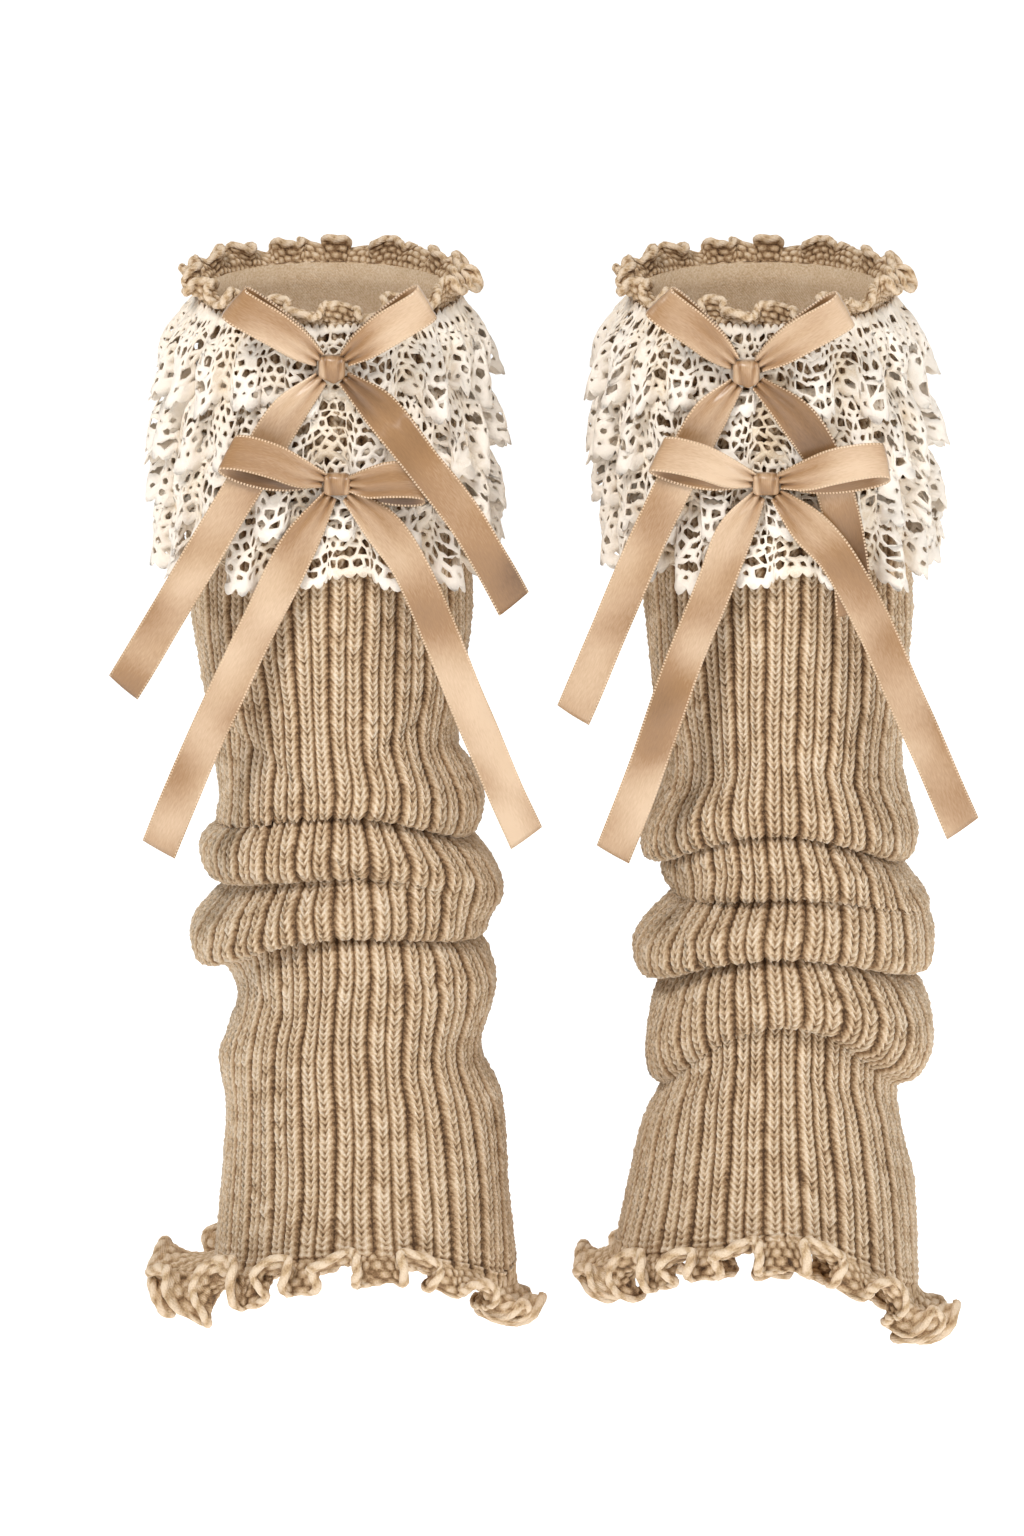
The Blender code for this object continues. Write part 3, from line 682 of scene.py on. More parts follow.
def set_painted_shade(obj, values):
    """Painted shade at each point, from 0 to 1, for the material: how deep it lies in the cloth's
    texture, in a fold or behind another layer.
    """
    layer = obj.data.attributes.new("painted_shade", "FLOAT", "POINT")
    layer.data.foreach_set("value", np.clip(values, 0.0, 1.0).astype(np.float32).reshape(-1))


def set_uv(obj, name, across, down, period=None):
    """A UV map from a value across and down at each point. Where the first wraps round after
    its period, a face's corners stay together."""
    corners = np.empty(len(obj.data.loops), np.int32)
    obj.data.loops.foreach_get("vertex_index", corners)
    place = np.stack([across.reshape(-1)[corners], down.reshape(-1)[corners]], axis=-1)
    if period:
        starts = np.empty(len(obj.data.polygons), np.int32)
        totals = np.empty(len(obj.data.polygons), np.int32)
        obj.data.polygons.foreach_get("loop_start", starts)
        obj.data.polygons.foreach_get("loop_total", totals)
        highest = np.repeat(np.maximum.reduceat(place[:, 0], starts), totals)
        place[:, 0] += np.where(highest - place[:, 0] > period / 2, period, 0.0)
    layer = obj.data.uv_layers.new(name=name)
    layer.data.foreach_set("uv", place.astype(np.float32).reshape(-1))


def drop(grid):
    """Mean length down the columns of a grid, in metres."""
    return float(np.linalg.norm(np.diff(grid, axis=0), axis=-1).sum(axis=0).mean()) * MM


def knit_wall(form, theta, share):
    """The tube's form with its creases, at angles and at shares of the way down it."""
    plain = through(knit_form(form.sections, theta), share)
    return pressed(plain, theta, form.creases, form.turns)


def knit_tube(side, offset, form, material, random):
    """The tube: the cubic form, plus the stitch relief along its normal. The relief at a line
    is its height less its dip between courses, and courses hang down towards the foot of each
    V. A plain inner wall and two rims close it."""
    lines = np.array(RIB_LINES)
    columns = RIB_COUNT * len(lines)
    place = (np.arange(RIB_COUNT)[:, None] + lines[:, 0]).reshape(-1)
    theta = 2 * math.pi * place / RIB_COUNT
    height, dip, hang = (np.tile(lines[:, i], RIB_COUNT) for i in (1, 2, 3))
    fine = np.linspace(0, 1, MEASURED_ROWS)[:, None] + 0 * theta
    plain = through(knit_form(form.sections, theta), fine)
    courses = round(drop(plain) / (COURSE * MM))
    step = np.arange(courses * LINES_PER_COURSE + 1)[:, None] / LINES_PER_COURSE
    free = smoothstep(np.minimum(step, courses - step) / STRAIGHT_COURSES)
    down = step + free * hang
    base = knit_wall(form, theta, np.clip(down / courses, 0.0, 1.0))
    sway = RIB_SWAY * (np.sin(0.21 * step + 5 * theta) + 0.6 * np.sin(0.47 * step - 9 * theta))
    base = base + sway[..., None] * unit(steps_round(base))
    stitch = random.normal(0, STITCH_JITTER, (courses + 1, 2 * RIB_COUNT))
    stitch = np.repeat(stitch, len(lines) // 2, axis=1)
    stitch = stitch[np.minimum(np.floor(step[:, 0]).astype(int), courses)]
    between = (np.arange(len(step)) % LINES_PER_COURSE == 0)[:, None]
    relief = height - dip * between + stitch
    normal = normals(base)
    outer = base + relief[..., None] * normal
    # Painted shade on the undersides of the folds, where the normal points down
    under = UNDERSIDE_SHADE * np.clip(-normal[..., 2], 0.0, 1.0)
    inner_theta = theta[::INNER_SHARE]
    inner_share = np.linspace(0, 1, INNER_ROWS)[:, None] + 0 * inner_theta
    inner = knit_wall(form, inner_theta, inner_share)
    inner = inner - WALL * normals(inner)
    first = outer.shape[0] * columns
    inner_columns = len(inner_theta)
    rims = []
    number = np.arange(inner_columns)
    for row, inner_row, turn in ((0, 0, 1), (len(step) - 1, INNER_ROWS - 1, -1)):
        inner_first = first + inner_row * inner_columns
        ring = [inner_first + number]
        for i in range(INNER_SHARE + 1):
            ring.append(row * columns + (number * INNER_SHARE + i) % columns)
        ring.append(inner_first + (number + 1) % inner_columns)
        rims.append(np.stack(ring, axis=-1)[:, ::turn])
    inside = first + cells(INNER_ROWS, inner_columns, True)[:, ::-1]
    faces = [cells(len(step), columns, True), inside, *rims]
    points = np.concatenate([outer.reshape(-1, 3), inner.reshape(-1, 3)])
    obj = make_mesh(f"{side}_rib_knit", points, faces, material, offset)
    # Painted shade: browner the lower the relief lies, down in the gaps between stitches, plus the
    # folds' undersides
    deep = ((WALE_TOP - relief) / WALE_DEPTH + under).reshape(-1)
    set_painted_shade(obj, np.concatenate([deep, np.full(inner_share.size, INNER_HOLLOW)]))
    across = [place + 0 * step, place[::INNER_SHARE] + 0 * inner_share]
    rows = [step + 0 * place, inner_share * courses]
    across, rows = (np.concatenate([part.reshape(-1) for part in pair]) for pair in (across, rows))
    set_uv(obj, "stitches", across, rows, RIB_COUNT)
    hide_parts(f"{side}_knit_tube")


def frill_layer(frill, sections, theta, down, lean, length, upward):
    """A frill's middle layer. It runs its length from the rim, and at each place leans out from
    the vertical by an angle: the lean, reached soon, plus a curl that grows towards the free
    edge on the outward waves and turns the inward ones in. Out and away are the sums of the
    angle's sine and cosine on the way, and each wave bulges sideways past its foot."""
    phase = frill.waves * theta + 0.9 * np.sin(3 * theta + 0.6) + 0.5 * np.sin(7 * theta + 2.0)
    swing = np.cos(phase) * (1 + 0.25 * np.sin(5 * theta + 2.0))
    small = 0.3 * np.cos(frill.ripples * theta + 1.3) * down
    share = 0.5 + 0.5 * (swing + small)
    curl = frill.curl * np.minimum(1.0, CURL_REACH / length)
    angle = lean * smoothstep(down / 0.4) + curl * (share - frill.inward) * down**1.5
    step = length * (down[1:] - down[:-1])
    between = (angle[1:] + angle[:-1]) / 2
    out = np.concatenate([0 * theta, np.cumsum(step * np.sin(between), axis=0)])
    away = np.concatenate([0 * theta, np.cumsum(step * np.cos(between), axis=0)])
    turned = theta + frill.bulge / frill.waves * np.sin(2 * phase) * down**1.3
    rise = away[..., None] * (UP if upward else -UP)
    return frill_rim(*sections, turned) + out[..., None] * outward(turned) + rise, share


def crochet_knobs(frill, place, down):
    """Four rounds of crochet: round stitch heads, as many as the rope has stitches, each round
    half a head along from the one before, and none quite level."""
    course = 4 * down + 0.3 * np.sin(1.7 * place) + 0.2 * np.sin(4.1 * place + 1)
    turn = frill.stitches * place / RIB_COUNT + 0.5 * (np.floor(course) % 2)
    return (np.abs(np.sin(math.pi * turn)) * np.abs(np.sin(math.pi * course))) ** 0.6


def gathered_ribs(place, down, length):
    """Crochet worked on into the ribs: it starts with the ribs' own profile, which gives way to
    ridges of tall stitch heads, five to a repeat of the rib and each round half a head along
    from the one before, with a row of eyelets near the rope."""
    course = down * length / ROUND
    lines = RIB_LINES + (RIB_LINES[0]._replace(place=1.0),)
    rib = np.interp(place % 1.0, [line.place for line in lines], [line.height for line in lines])
    start = (rib - FRILL_HALF) / STITCH_HEAD - 0.1 + 0.6 * np.abs(np.cos(math.pi * course))
    turn = 5 * place + 0.5 * (np.floor(course) % 2)
    heads = np.abs(np.sin(math.pi * turn)) ** 0.8 * (0.5 + 0.5 * np.abs(np.sin(math.pi * course)))
    eyelet = np.cos(2 * math.pi * place) ** 12 * np.exp(-(((down - 0.75) / 0.07) ** 2))
    worked = smoothstep(down / 0.35)
    return start * (1 - worked) + (heads - 0.8 * eyelet) * worked


def rib_place(section, degrees, theta):
    """Where an angle of an edge lies among the ribs, undoing their crowding and their turn."""
    aside = (section.right - section.left) / (section.right + section.left)
    turned = theta - math.radians(degrees)
    place = turned
    for _ in range(8):
        place = turned - UPRIGHT * aside * np.sin(place)
    return RIB_COUNT * place / (2 * math.pi)


def frill_rim(edge, next_section, theta):
    """Where a frill starts: on the tube's form, inside its edge by a lap that wavers."""
    start = ellipse(edge, theta)
    lap = FRILL_LAP * (1 + 0.5 * np.sin(4 * theta + 0.8) + 0.3 * np.sin(9 * theta + 2.0))
    inward = unit(ellipse(next_section, theta) - start)
    return start + lap[..., None] * inward + FRILL_STAND * outward(theta)


def crochet_frill(side, edge, frill, form, sides, material, offset):
    """A closed frill round an edge of the tube: the middle layer, half a thickness out and in
    along its normal plus its stitches' relief, joined round the free edge by a rope, which is a
    circle swept along it and nipped between its stitches."""
    upward = edge == "top"
    sections = form.sections[:2] if upward else form.sections[:-3:-1]
    degrees = form.turns[0 if upward else -1][1]
    theta = np.arange(frill.columns)[None, :] * 2 * math.pi / frill.columns
    down = np.linspace(0, 1, frill.rows)[:, None] + 0 * theta
    reach = blend(theta, *sides[0])
    fall = blend(theta, *sides[1])
    length = np.hypot(reach, fall) * frill.slack * (1 + 0.1 * np.sin(4 * theta + 1.0))
    length = length * (1 + frill.arch * (np.abs(np.cos(frill.arches * theta / 2)) - 0.5))
    lean = np.arctan2(reach, fall)
    layer, share = frill_layer(frill, sections, theta, down, lean, length, upward)
    ahead = unit(np.gradient(layer, axis=0))
    normal = unit(np.cross(ahead, unit(steps_round(layer)))) * (-1.0 if upward else 1.0)
    place = rib_place(sections[0], degrees, theta) + 0 * down
    head = crochet_knobs(frill, place, down) if upward else gathered_ribs(place, down, length)
    lift = FRILL_HALF + STITCH_HEAD * (head - 0.5)
    front = layer + lift[..., None] * normal
    back = layer - np.maximum(lift, 0.4)[..., None] * normal
    turn = np.radians(np.array([100.0, 60.0, 20.0, -20.0, -60.0, -100.0]))[:, None]
    strand = np.abs(np.sin(frill.stitches * theta / 2 + 0.7 * turn)) ** 0.7
    radius = frill.rope * (0.68 + 0.44 * strand)
    rope = layer[-1:] + (radius * np.cos(turn))[..., None] * ahead[-1:]
    rope = rope + (radius * np.sin(turn))[..., None] * normal[-1:]
    points = np.concatenate([front[:-1], rope, back[:-1][::-1]])
    # Painted shade: browner between the stitch heads, on the inward waves and paler on the outward
    # ones towards the free edge, between the rope's strands, and a little more on the back layer
    deep = 0.9 - 0.95 * head + 0.35 * (0.5 - share) * down
    deep = np.concatenate([deep[:-1], 0.75 - 0.8 * strand, deep[:-1][::-1] + 0.1])
    stitch = frill.stitches * theta / (2 * math.pi) + 0 * deep
    level = np.arange(len(points))[:, None] * 0.5 + 0 * deep
    if upward:
        points, deep, level = points[::-1], deep[::-1], level[::-1]
    rows = len(points)
    corner = cells(rows + 1, frill.columns, True) % (rows * frill.columns)
    obj = make_mesh(f"{side}_{edge}_crochet", points, [corner], material, offset)
    set_painted_shade(obj, deep)
    set_uv(obj, "stitches", stitch, level, frill.stitches)
    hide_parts(f"{side}_{edge}_frill")


def laced_section(sections, height):
    """The tube's reach to each side at these heights, within the stretch the lace covers."""
    rows = np.array(sections[:LACED_SECTIONS])
    level = rows[:, 4:].mean(axis=1)
    return [np.interp(height, level[::-1], rows[::-1, i]) for i in range(4)]


def lace_place(sections, number, theta, down):
    """A point of a flounce's middle layer at an angle and a share of its depth: the tube's
    ellipse, out by the stand, and by the flare, which swells at once and turns in again at the
    edge. The gathers swing it out and in, more at the sides, and bulge past their own feet.
    Larger lobes hang lower and further out, each by exp(-(away/width)^2)."""
    tier = TIERS[number]
    beside = np.cos(theta) ** 2
    phase = LACE_WAVES * theta + LACE_CROWD * np.sin(2 * theta) + 1.9 * number
    phase = phase + 0.8 * np.sin(3 * theta + 2.3 * number)
    swing = np.cos(phase) * (0.8 + 0.35 * np.sin(4 * theta + 1.7 * number))
    ripple = 0.4 * np.cos(LACE_RIPPLES * theta + 1.7 * number + 3 * down)
    free = np.clip(down, 0, 1.2)
    swell = np.sin(math.pi / 2 * np.minimum(free / 0.6, 1.0))
    swell = swell - 0.16 * smoothstep((free - 0.6) / 0.5)
    grown = free**0.8
    ragged = 3.2 * np.sin(5 * theta + 2.1 * number) + 3.0 * np.sin(11 * theta + 1.3 * number + 1)
    if number == len(TIERS) - 1:
        ragged = ragged / 2
    height = tier.top + (tier.bottom - tier.top) * down
    lobe = 0.0
    for place in LACE_LOBES[number]:
        away = np.degrees(np.angle(np.exp(1j * (theta - math.radians(place)))))
        lobe = lobe + np.exp(-((away / LOBE_WIDTH) ** 2))
    height = height + (ragged * beside - LACE_HANG * swing - LOBE_DROP * lobe) * grown
    left, right, front, back = laced_section(sections, height)
    turned = theta + LACE_BULGE / LACE_WAVES * np.sin(2 * phase) * grown
    x = (right - left) / 2 + (right + left) / 2 * np.cos(turned)
    y = (back - front) / 2 + (back + front) / 2 * np.sin(turned)
    flare = blend(theta, *LACE_FLARE)
    curl = LACE_CURL * (1 - 0.85 * beside) * np.maximum(swing, 0) * np.minimum(free, 1.05) ** 4
    out = LACE_STAND + flare * swell + blend(theta, *LACE_WAVE) * (swing + ripple) * grown + curl
    out = out + LOBE_OUT * lobe * grown
    out = out + GATHER_DEPTH * np.cos(GATHERS * theta + number) * (1 - np.minimum(free, 1)) ** 2
    return np.stack([x, y, height + 0.6 * curl], axis=-1) + out[..., None] * outward(turned), swing


def lace_outline(rows, random):
    """A lace strip laid flat, in cells across and millimetres down. Row by row its cells are
    hexagons, half a cell along from the row before, with their corners strayed at random. Eight
    points run round a cell, and its hole is the same outline drawn in by half a strand, which
    is thicker at the two sides, and rounded towards its mean radius."""
    count = len(rows)
    level = np.concatenate([[0.0], np.cumsum([row.tall for row in rows])])
    row = np.arange(count)[:, None]
    cell = np.arange(LACE_CELLS)[None, :]
    corners = 2 * LACE_CELLS
    number = np.arange(corners)
    line = np.arange(count + 1)[:, None]
    loose = np.where((line > 0) & (line < count), 1.0, 0.0)
    zigzag = np.where((number + line) % 2 == 0, CELL_POINT, -CELL_POINT)
    across = number / 2 + loose * random.normal(0, CELL_JITTER, (count + 1, corners))
    depth = level[:, None] + loose * (zigzag + random.normal(0, CELL_JITTER_DOWN, across.shape))
    lines = np.stack([across, depth], axis=-1)
    step = 2 * cell + row % 2 + np.array([0, 0, 1, 2, 2, 1])[:, None, None]
    below = row + np.array([0, 1, 1, 1, 0, 0])[:, None, None]
    corner = lines[below, step % corners]
    corner[..., 0] += LACE_CELLS * (step // corners)
    left_side = (corner[0] + corner[1]) / 2
    right_side = (corner[3] + corner[4]) / 2
    ring = np.stack([corner[0], left_side, *corner[1:4], right_side, *corner[4:]], axis=2)
    middle = ring.mean(axis=2, keepdims=True)
    inward = (middle - ring) * np.array([CELL_WIDTH, 1.0])
    strand = np.array([part.strand for part in rows])[:, None, None]
    beside = np.cos(2 * math.pi * (cell + 0.5) / LACE_CELLS) ** 2
    uneven = random.uniform(*STRAND_UNEVEN, (count, LACE_CELLS, 1))
    strand = strand * (1.05 + STRAND_BESIDE * beside[..., None]) * uneven
    reach = np.linalg.norm(inward, axis=-1)
    open_to = reach - np.minimum(strand, 0.72 * reach)
    rounded = ROUNDNESS * open_to.mean(axis=-1, keepdims=True) + (1 - ROUNDNESS) * open_to
    hole = middle + (ring - middle) * np.minimum(rounded / reach, 0.85)[..., None]
    corner_at = below * corners + step % corners
    side_first = (count + 1) * corners
    side_at = side_first + row * LACE_CELLS + cell
    next_side = side_first + row * LACE_CELLS + (cell + 1) % LACE_CELLS
    around = [corner_at[0], side_at, *corner_at[1:4], next_side, *corner_at[4:]]
    hole_first = side_first + count * LACE_CELLS
    hole_at = hole_first + (row * LACE_CELLS + cell)[..., None] * 8 + np.arange(8)
    points = [lines.reshape(-1, 2), ring[:, :, 1].reshape(-1, 2), hole.reshape(-1, 2)]
    return np.concatenate(points), np.stack(around, axis=2), hole_at, level[-1]


def lace_faces(rows, ring, hole, random, edge, crown):
    """The strip's faces: a band of eight round each hole, a filled cell where one is worked
    solid, and plain cells along both edges, which end in the edge's own finer points."""
    count = len(rows)
    worked = np.array([part.strand > 0 for part in rows])[:, None] & np.ones((1, LACE_CELLS), bool)
    solid = worked & (random.random(worked.shape) < SOLID_CELLS)
    joins = np.array([part.joined for part in rows])[:, None]
    joined = worked & (random.random(worked.shape) < joins)
    joined &= ~np.roll(joined, 1, axis=1) & ~solid & ~np.roll(solid, -1, axis=1)
    following = np.roll(ring, -1, axis=2)
    band = np.stack([ring, following, np.roll(hole, -1, axis=2), hole], axis=-1)
    kept = np.repeat(worked[..., None], 8, axis=2)
    kept[..., 4:6] &= ~joined[..., None]
    kept[..., 0:2] &= ~np.roll(joined, 1, axis=1)[..., None]
    faces = [band[kept], hole[solid]]
    plain = ~worked
    plain[-1] = False
    if crown is not None:
        plain[0] = False
        start = 4 * np.arange(LACE_CELLS)[:, None]
        over = crown + (start + np.arange(4, -1, -1)) % (4 * LACE_CELLS)
        faces.append(np.concatenate([over[:, 4:], ring[0][:, 1:6], over[:, :4]], axis=1))
    faces.append(ring[plain])
    start = 4 * np.arange(LACE_CELLS)[:, None] + 2 * ((count - 1) % 2)
    under = edge + (start + np.arange(5)) % (4 * LACE_CELLS)
    faces.append(np.concatenate([ring[-1][:, :2], under, ring[-1][:, 5:]], axis=1))
    return faces


def lace_tier(side, offset, sections, number, material, random):
    """One flounce: the flat strip carried onto the gathered layer, its edge scalloped, with a
    bump at each cell. Threads are thickest along their middles, and a rim of faces joins the
    two sides wherever there is only one."""
    rows = LACE_ROWS if number else TOP_LACE_ROWS
    flat, ring, hole, total = lace_outline(rows, random)
    quarter = np.arange(4 * LACE_CELLS) / 4
    bump = np.abs(np.sin(math.pi * (quarter - 0.5 * ((len(rows) - 1) % 2)))) ** 0.7 * PICOT
    edge = np.stack([quarter, total + bump], axis=-1)
    scallops = np.abs(np.sin(math.pi * quarter)) ** 0.7
    crown = np.stack([quarter, -CROWN * scallops * PICOT], axis=-1)
    first = len(flat)
    flat = np.concatenate([flat, edge, crown])
    faces = lace_faces(rows, ring, hole, random, first, None if number else first + len(edge))
    thick = np.ones(len(flat))
    thick[hole] = HOLE_THICK
    thick[first:] = EDGE_THICK
    down = flat[:, 1] / total
    scallop = np.abs(np.sin(math.pi * SCALLOPS * flat[:, 0] / LACE_CELLS)) ** 0.8 - 0.5
    down = down + smoothstep((down - 0.5) / 0.5) * scallop * SCALLOP_DEPTH / total
    around = 2 * math.pi * flat[:, 0] / LACE_CELLS
    theta = around - CELL_CROWD * np.sin(2 * around)
    middle, swing = lace_place(sections, number, theta, down)
    along = lace_place(sections, number, theta, down + LACE_STEP)[0] - middle
    beside = lace_place(sections, number, theta + LACE_STEP, down)[0] - middle
    normal = unit(np.cross(along, beside))
    puff = (thick * LACE_HALF)[:, None]
    count = len(flat)
    edges = [(group.reshape(-1), np.roll(group, -1, axis=1).reshape(-1)) for group in faces]
    start = np.concatenate([pair[0] for pair in edges])
    end = np.concatenate([pair[1] for pair in edges])
    bare = ~np.isin(start * count + end, end * count + start)
    rim = np.stack([end[bare], start[bare], start[bare] + count, end[bare] + count], axis=-1)
    faces = faces + [group[:, ::-1] + count for group in faces] + [rim]
    points = np.concatenate([middle + puff * normal, middle - puff * normal])
    used, faces = used_only(faces)
    obj = make_mesh(f"{side}_lace_flounce_{number + 1}", points[used], faces, material, offset)
    # Painted shade: browner in the inward waves and paler on the outward ones towards the edge,
    # browner near the seam, along the thinner thread round the holes and on the back layer;
    # painted light at the two sides
    deep = 0.16 - 0.32 * swing * np.clip(down, 0, 1) + 0.16 * (1 - down) + 0.25 * (1 - thick)
    deep = deep - 0.1 * np.cos(theta) ** 2
    set_painted_shade(obj, np.concatenate([deep, deep + 0.2])[used])
    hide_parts(f"{side}_lace_tier_{number + 1}")


def ribbon(name, control, toward, material, offset, rows, looped, cut=0.0, dim=0.0):
    """A ribbon: a cubic path with its half width to each side, pleated near the knot by
    cos(2.3 pi w) along its normal, w being the place across from -1 to 1. Control holds x, y, z
    and the width share of each path point, and its width lies square to where it runs, seen
    from in front, or to one direction toward its end."""
    share = np.linspace(0, 1, rows)[:, None]
    path = through(control[:, None, :], share)[:, 0]
    across = np.linspace(-1, 1, RIBBON_COLUMNS)
    if toward is None:
        toward = unit(np.gradient(path[:, :3:2], axis=0))
    toward = np.broadcast_to(toward, (rows, 2))
    sideways = np.stack([-toward[:, 1], np.zeros(rows), toward[:, 0]], axis=-1)
    half = path[:, 3:4, None] * RIBBON_WIDTH / 2
    grid = path[:, None, :3] + half * across[None, :, None] * sideways[:, None, :]
    run = np.concatenate([[0.0], np.cumsum(np.linalg.norm(np.diff(path[:, :3], axis=0), axis=1))])
    ahead = unit(np.gradient(path[:, :3], axis=0))
    slant = cut * smoothstep((run - run[-1] + CUT_REACH) / CUT_REACH)
    grid = grid + (slant[:, None] * across)[..., None] * ahead[:, None, :]
    normal = normals(grid, wrap=False)
    near = np.exp(-run / PLEAT_FADE)
    if looped:
        near = near + np.exp(-(run[-1] - run) / PLEAT_FADE)
    swell = np.cos(2.3 * math.pi * across + 0.5)
    away = 1 - np.minimum(near, 1)[:, None]
    soft = RIBBON_RIPPLE * np.sin(run[:, None] / 7.5 + 1.1 + 0.9 * across)
    soft = soft * (0.7 + 0.5 * across) * away
    cupped = RIBBON_CUP * across**2 * away
    grid = grid + (PLEAT_DEPTH * near[:, None] * swell + soft - cupped)[..., None] * normal
    obj = make_mesh(f"{name}_satin", grid, [cells(rows, RIBBON_COLUMNS, False)], material, offset)
    wall = obj.modifiers.new("wall", "SOLIDIFY")
    wall.thickness = RIBBON_THICKNESS * MM
    wall.offset = 0.0
    level = np.zeros(grid.shape[:2])
    set_uv(obj, "ribbon", across * RIBBON_WIDTH / 2 + level, run[:, None] + level)
    # Painted shade: browner in the pleats by the knot, on a loop's back layer, and over the whole
    # of the tail that lies turned from the light
    shade = dim + 0.2 * near[:, None] * (0.5 - 0.5 * swell)
    if looped:
        shade = shade + 0.3 * smoothstep((share - 0.52) / 0.1)
    set_painted_shade(obj, shade + level)
    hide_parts(name)


def leave(knot, end):
    """A knot's middle, the direction and the distance from there to an end, and how far that
    way a ribbon comes out of the knot."""
    middle = np.array([knot.across, knot.height])
    away = np.array(end[:2]) - middle
    length = np.linalg.norm(away)
    away = away / length
    across, height = np.abs(away)
    return middle, away, length, across * knot.width / 2 + height * knot.tall / 2 - KNOT_COVER


def bow_loop(side, bow, which, end, sag, material, offset):
    """A loop: out along its face, round, and back behind it, a little lower by the sag."""
    middle, away, length, start = leave(bow.knot, end)
    along, lift, width = np.array(LOOP_COURSE).T
    place = middle + away * (start + (length - start) * along[:, None])
    out = bow.knot.out + (end[2] - bow.knot.out) * np.sin(along * math.pi / 2)
    out = out + LOOP_BELLY * lift
    lower = sag * (1 - lift) * np.sin(along * math.pi * 0.5)
    bowed = LOOP_BOW * np.sin(math.pi * along) * lift
    control = np.stack([place[:, 0], -out, place[:, 1] - lower + bowed, width], axis=-1)
    name = f"{side}_{bow.name}_{which}_loop"
    ribbon(name, control, away, material, offset, LOOP_ROWS, True)


def bow_tail(side, bow, which, spots, stagger, material, offset):
    """A hanging tail, from under the knot through its spots to a slanted cut end."""
    middle, away, _, reach = leave(bow.knot, spots[0])
    start = middle + away * reach
    control = [(start[0], -(bow.knot.out + stagger), start[1], PINCH)]
    control += [(across, -out, height, 1.0) for across, height, out in spots]
    name = f"{side}_{bow.name}_{which}_tail"
    cut = TAIL_CUT if which == "left" else -TAIL_CUT
    dim = TAIL_SHADE if (bow.name, which) == SHADED_TAIL else 0.0
    ribbon(name, np.array(control), None, material, offset, TAIL_ROWS, False, cut, dim)


def bow_knot(side, bow, material, offset):
    """The band round a bow: a rounded block |x|^p + |y|^q + |z|^r = 1, drawn in at its waist and
    bulging in front, with creases pressed down its face, each a soft trough
    exp(-(aside/width)^2), and a short tongue at its foot."""
    knot = bow.knot
    tilt = np.linspace(0, math.pi, KNOT_ROWS)[:, None]
    turn = np.arange(KNOT_COLUMNS)[None, :] * 2 * math.pi / KNOT_COLUMNS

    def rounded(value, power):
        return np.sign(value) * np.abs(value) ** power

    x = rounded(np.sin(tilt), 0.36) * rounded(np.cos(turn), 0.5)
    y = rounded(np.sin(tilt), 0.5) * rounded(np.sin(turn), 0.75)
    z = rounded(np.cos(tilt), 0.55) + 0 * turn
    pressed_in = 0 * x
    for fold in KNOT_FOLDS:
        aside = (x - fold.place - fold.lean * z) / fold.width
        pressed_in = pressed_in + fold.depth * np.exp(-(aside**2))
    waist = 1 - KNOT_WAIST * (1 - z**2)
    tongue = knot.tongue * np.exp(-(((x - 0.12) / 0.4) ** 2)) * smoothstep(-z)
    front = np.minimum(y, 0)
    points = np.stack([
        knot.across + x * knot.width / 2 * waist,
        -knot.out + y * KNOT_DEPTH / 2 + front * (KNOT_BULGE * (1 - z**2) - pressed_in),
        knot.height + z * knot.tall / 2 - tongue,
    ], axis=-1)
    merged = np.arange(KNOT_ROWS * KNOT_COLUMNS)
    merged[:KNOT_COLUMNS] = 0
    merged[-KNOT_COLUMNS:] = len(merged) - KNOT_COLUMNS
    corner = merged[cells(KNOT_ROWS, KNOT_COLUMNS, True)]
    groups = [corner[:KNOT_COLUMNS, :3], corner[-KNOT_COLUMNS:][:, [0, 1, 3]]]
    groups.append(corner[KNOT_COLUMNS:-KNOT_COLUMNS])
    used, faces = used_only(groups)
    name = f"{side}_{bow.name}_knot"
    points = points.reshape(-1, 3)[used]
    obj = make_mesh(f"{name}_satin", points, faces, material, offset)
    set_uv(obj, "ribbon", points[:, 0] - knot.across, points[:, 2] - knot.height)
    # Painted shade down the creases pressed into its face
    set_painted_shade(obj, 0.3 * pressed_in.reshape(-1)[used])
    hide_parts(name)


def leg_warmer(side, offset, form, finishes, random):
    """All the pieces of one leg warmer."""
    knit, crochet, lace, ribbon_satin = finishes
    knit_tube(side, offset, form, knit, random)
    crochet_frill(side, "top", TOP_FRILL, form, TOP_FRILL_SIDES, crochet, offset)
    crochet_frill(side, "hem", HEM_FRILL, form, form.hem_sides, crochet, offset)
    for number in range(len(TIERS)):
        lace_tier(side, offset, form.sections, number, lace, random)
    for bow in form.bows:
        bow_knot(side, bow, ribbon_satin, offset)
        for which, end, sag in zip(("left", "right"), bow.loops, bow.sags):
            bow_loop(side, bow, which, end, sag, ribbon_satin, offset)
        for which, spots, stagger in zip(("left", "right"), bow.tails, TAIL_STAGGER):
            bow_tail(side, bow, which, spots, stagger, ribbon_satin, offset)


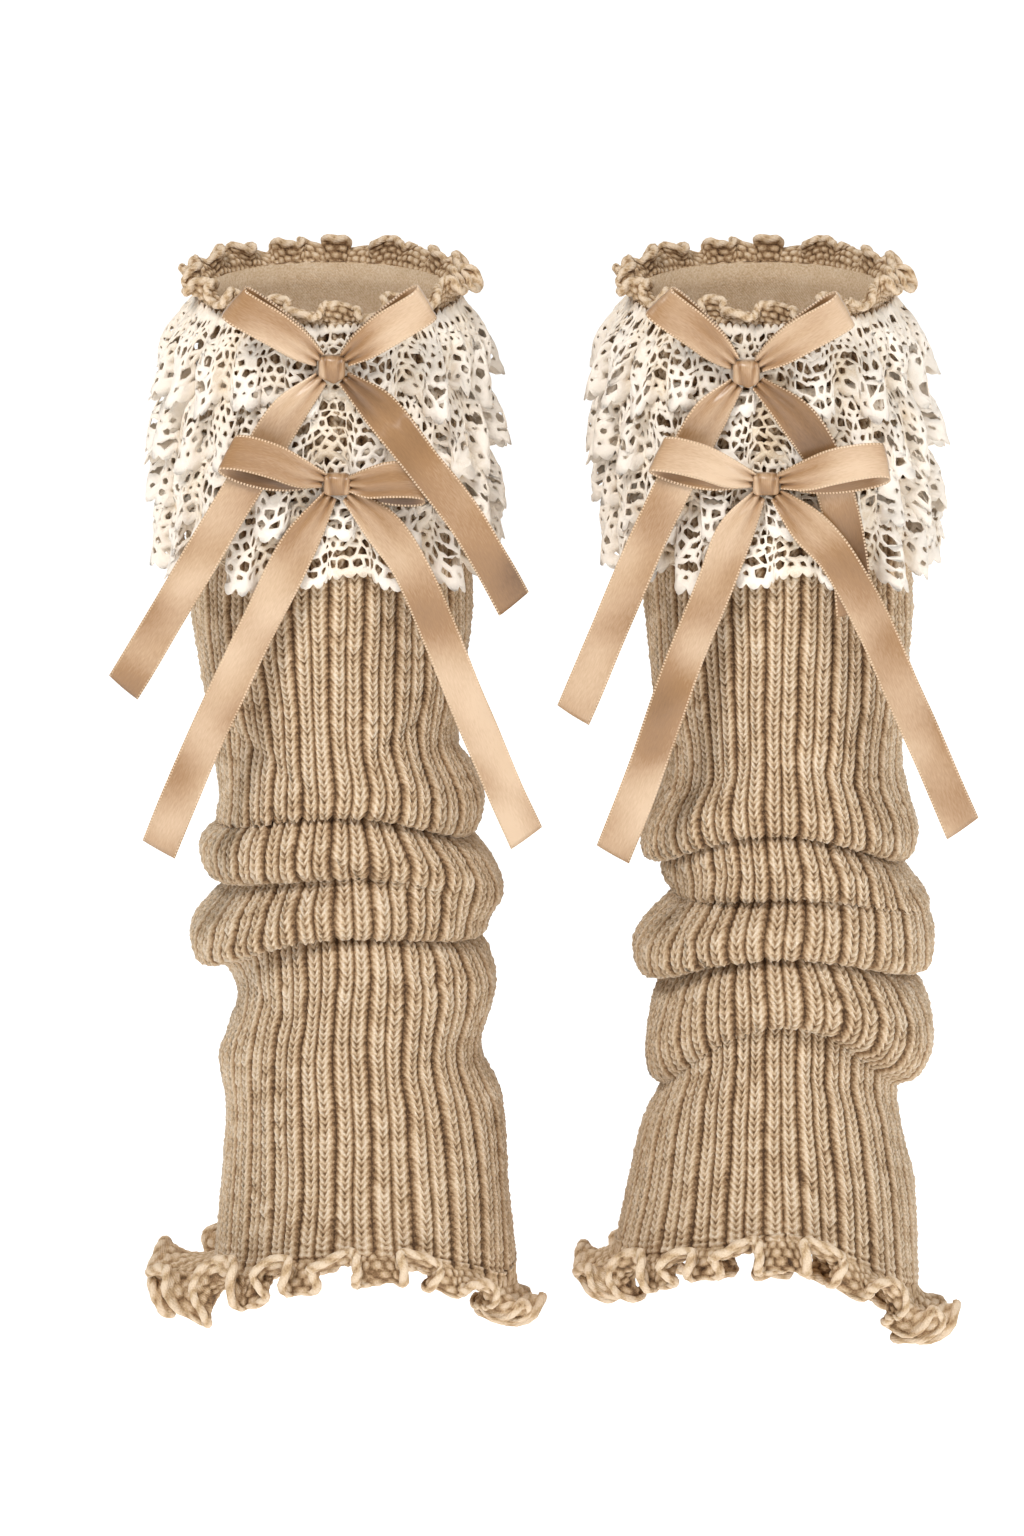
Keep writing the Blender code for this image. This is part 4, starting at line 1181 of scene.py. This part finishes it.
def backdrop():
    """A pale studio sweep: a floor that curves up into a wall behind."""
    width = 32000.0
    front = -32000.0
    bend = 4000.0
    back = 36000.0
    top = 12000.0
    turn = np.linspace(0, math.pi / 2, 13)
    depth = np.concatenate([[front], back - bend + bend * np.sin(turn), [back]])
    height = np.concatenate([[0.0], bend - bend * np.cos(turn), [top]]) + FLOOR_HEIGHT
    side = np.array([-width, width])
    grid = np.stack(np.broadcast_arrays(side[None, :], depth[:, None], height[:, None]), axis=-1)
    values = {"Roughness": 0.95, "Base Color": linear("FAFAF9")}
    values |= {"Emission Color": linear("FFFFFF"), "Emission Strength": 0.58}
    made, _, _ = finish("studio_paper", values)
    mesh = bpy.data.meshes.new("studio_sweep")
    faces = cells(len(depth), 2, False)[:, ::-1]
    mesh.from_pydata((grid.reshape(-1, 3) * MM).tolist(), [], faces.tolist())
    mesh.materials.append(made)
    mesh.shade_smooth()
    new_object("studio_sweep", mesh)


def area_light(name, place, target, size, power):
    """A soft square light at a place in metres that points at another."""
    lamp = bpy.data.lights.new(name, "AREA")
    lamp.shape = "SQUARE"
    lamp.size = size
    lamp.energy = power
    place = np.array(place)
    aim(new_object(name, lamp), place, np.array(target) - place)


def aim(obj, place, direction):
    """Puts an object at a place, its -Z along a direction and its top up."""
    back = -unit(direction)
    right = unit(np.cross(UP, back))
    up = np.cross(back, right)
    columns = np.stack([right, up, back, place], axis=1)
    obj.matrix_world = Matrix(np.vstack([columns, [0.0, 0.0, 0.0, 1.0]]).tolist())


def studio():
    """Soft light from the front and above, and a bright even surround."""
    world = bpy.data.worlds.new("studio_light")
    bpy.context.scene.world = world
    world.use_nodes = True
    light = world.node_tree.nodes["Background"]
    light.inputs["Color"].default_value = linear("FFFFFF")
    light.inputs["Strength"].default_value = 0.44
    centre = (0.0, 0.0, -0.2)
    area_light("key", (-0.65, -1.4, 1.4), centre, 0.6, 27.0)
    area_light("fill", (1.4, -1.3, 0.5), centre, 1.0, 9.0)
    area_light("rim", (0.3, 1.3, 1.2), centre, 1.2, 6.0)


def camera():
    """A long lens in front, looking a little down."""
    data = bpy.data.cameras.new("front_camera")
    data.sensor_fit = "VERTICAL"
    data.sensor_height = 36.0
    data.lens = data.sensor_height * VIEW_DISTANCE / FRAME_HEIGHT
    data.clip_end = 80.0
    obj = new_object("front_camera", data)
    angle = math.radians(VIEW_ELEVATION)
    toward = np.array([0.0, math.cos(angle), -math.sin(angle)])
    aim(obj, (np.array(VIEW_CENTRE) - toward * VIEW_DISTANCE) * MM, toward)
    bpy.context.scene.camera = obj


def main():
    random = np.random.default_rng(11)
    knit_stops = ((0.0, "ECDAC3"), (0.35, "CDB18F"), (0.7, "93724F"), (1.0, "4E341D"))
    crochet_stops = ((0.0, "E3CDB2"), (0.35, "C4A681"), (0.7, "8A6947"), (1.0, "472F1A"))
    finishes = (
        yarn("cotton_rib_knit", knit_stops, 12.0, 2.0),
        yarn("cotton_crochet", crochet_stops, 3.0, 2.0),
        lace_cotton(),
        satin(),
    )
    leg_warmer("left", -LEG_SPACING / 2, LEFT_FORM, finishes, random)
    leg_warmer("right", LEG_SPACING / 2, RIGHT_FORM, finishes, random)
    backdrop()
    studio()
    camera()
    # The photograph's colours are plain sRGB
    bpy.context.scene.view_settings.view_transform = "Standard"


main()
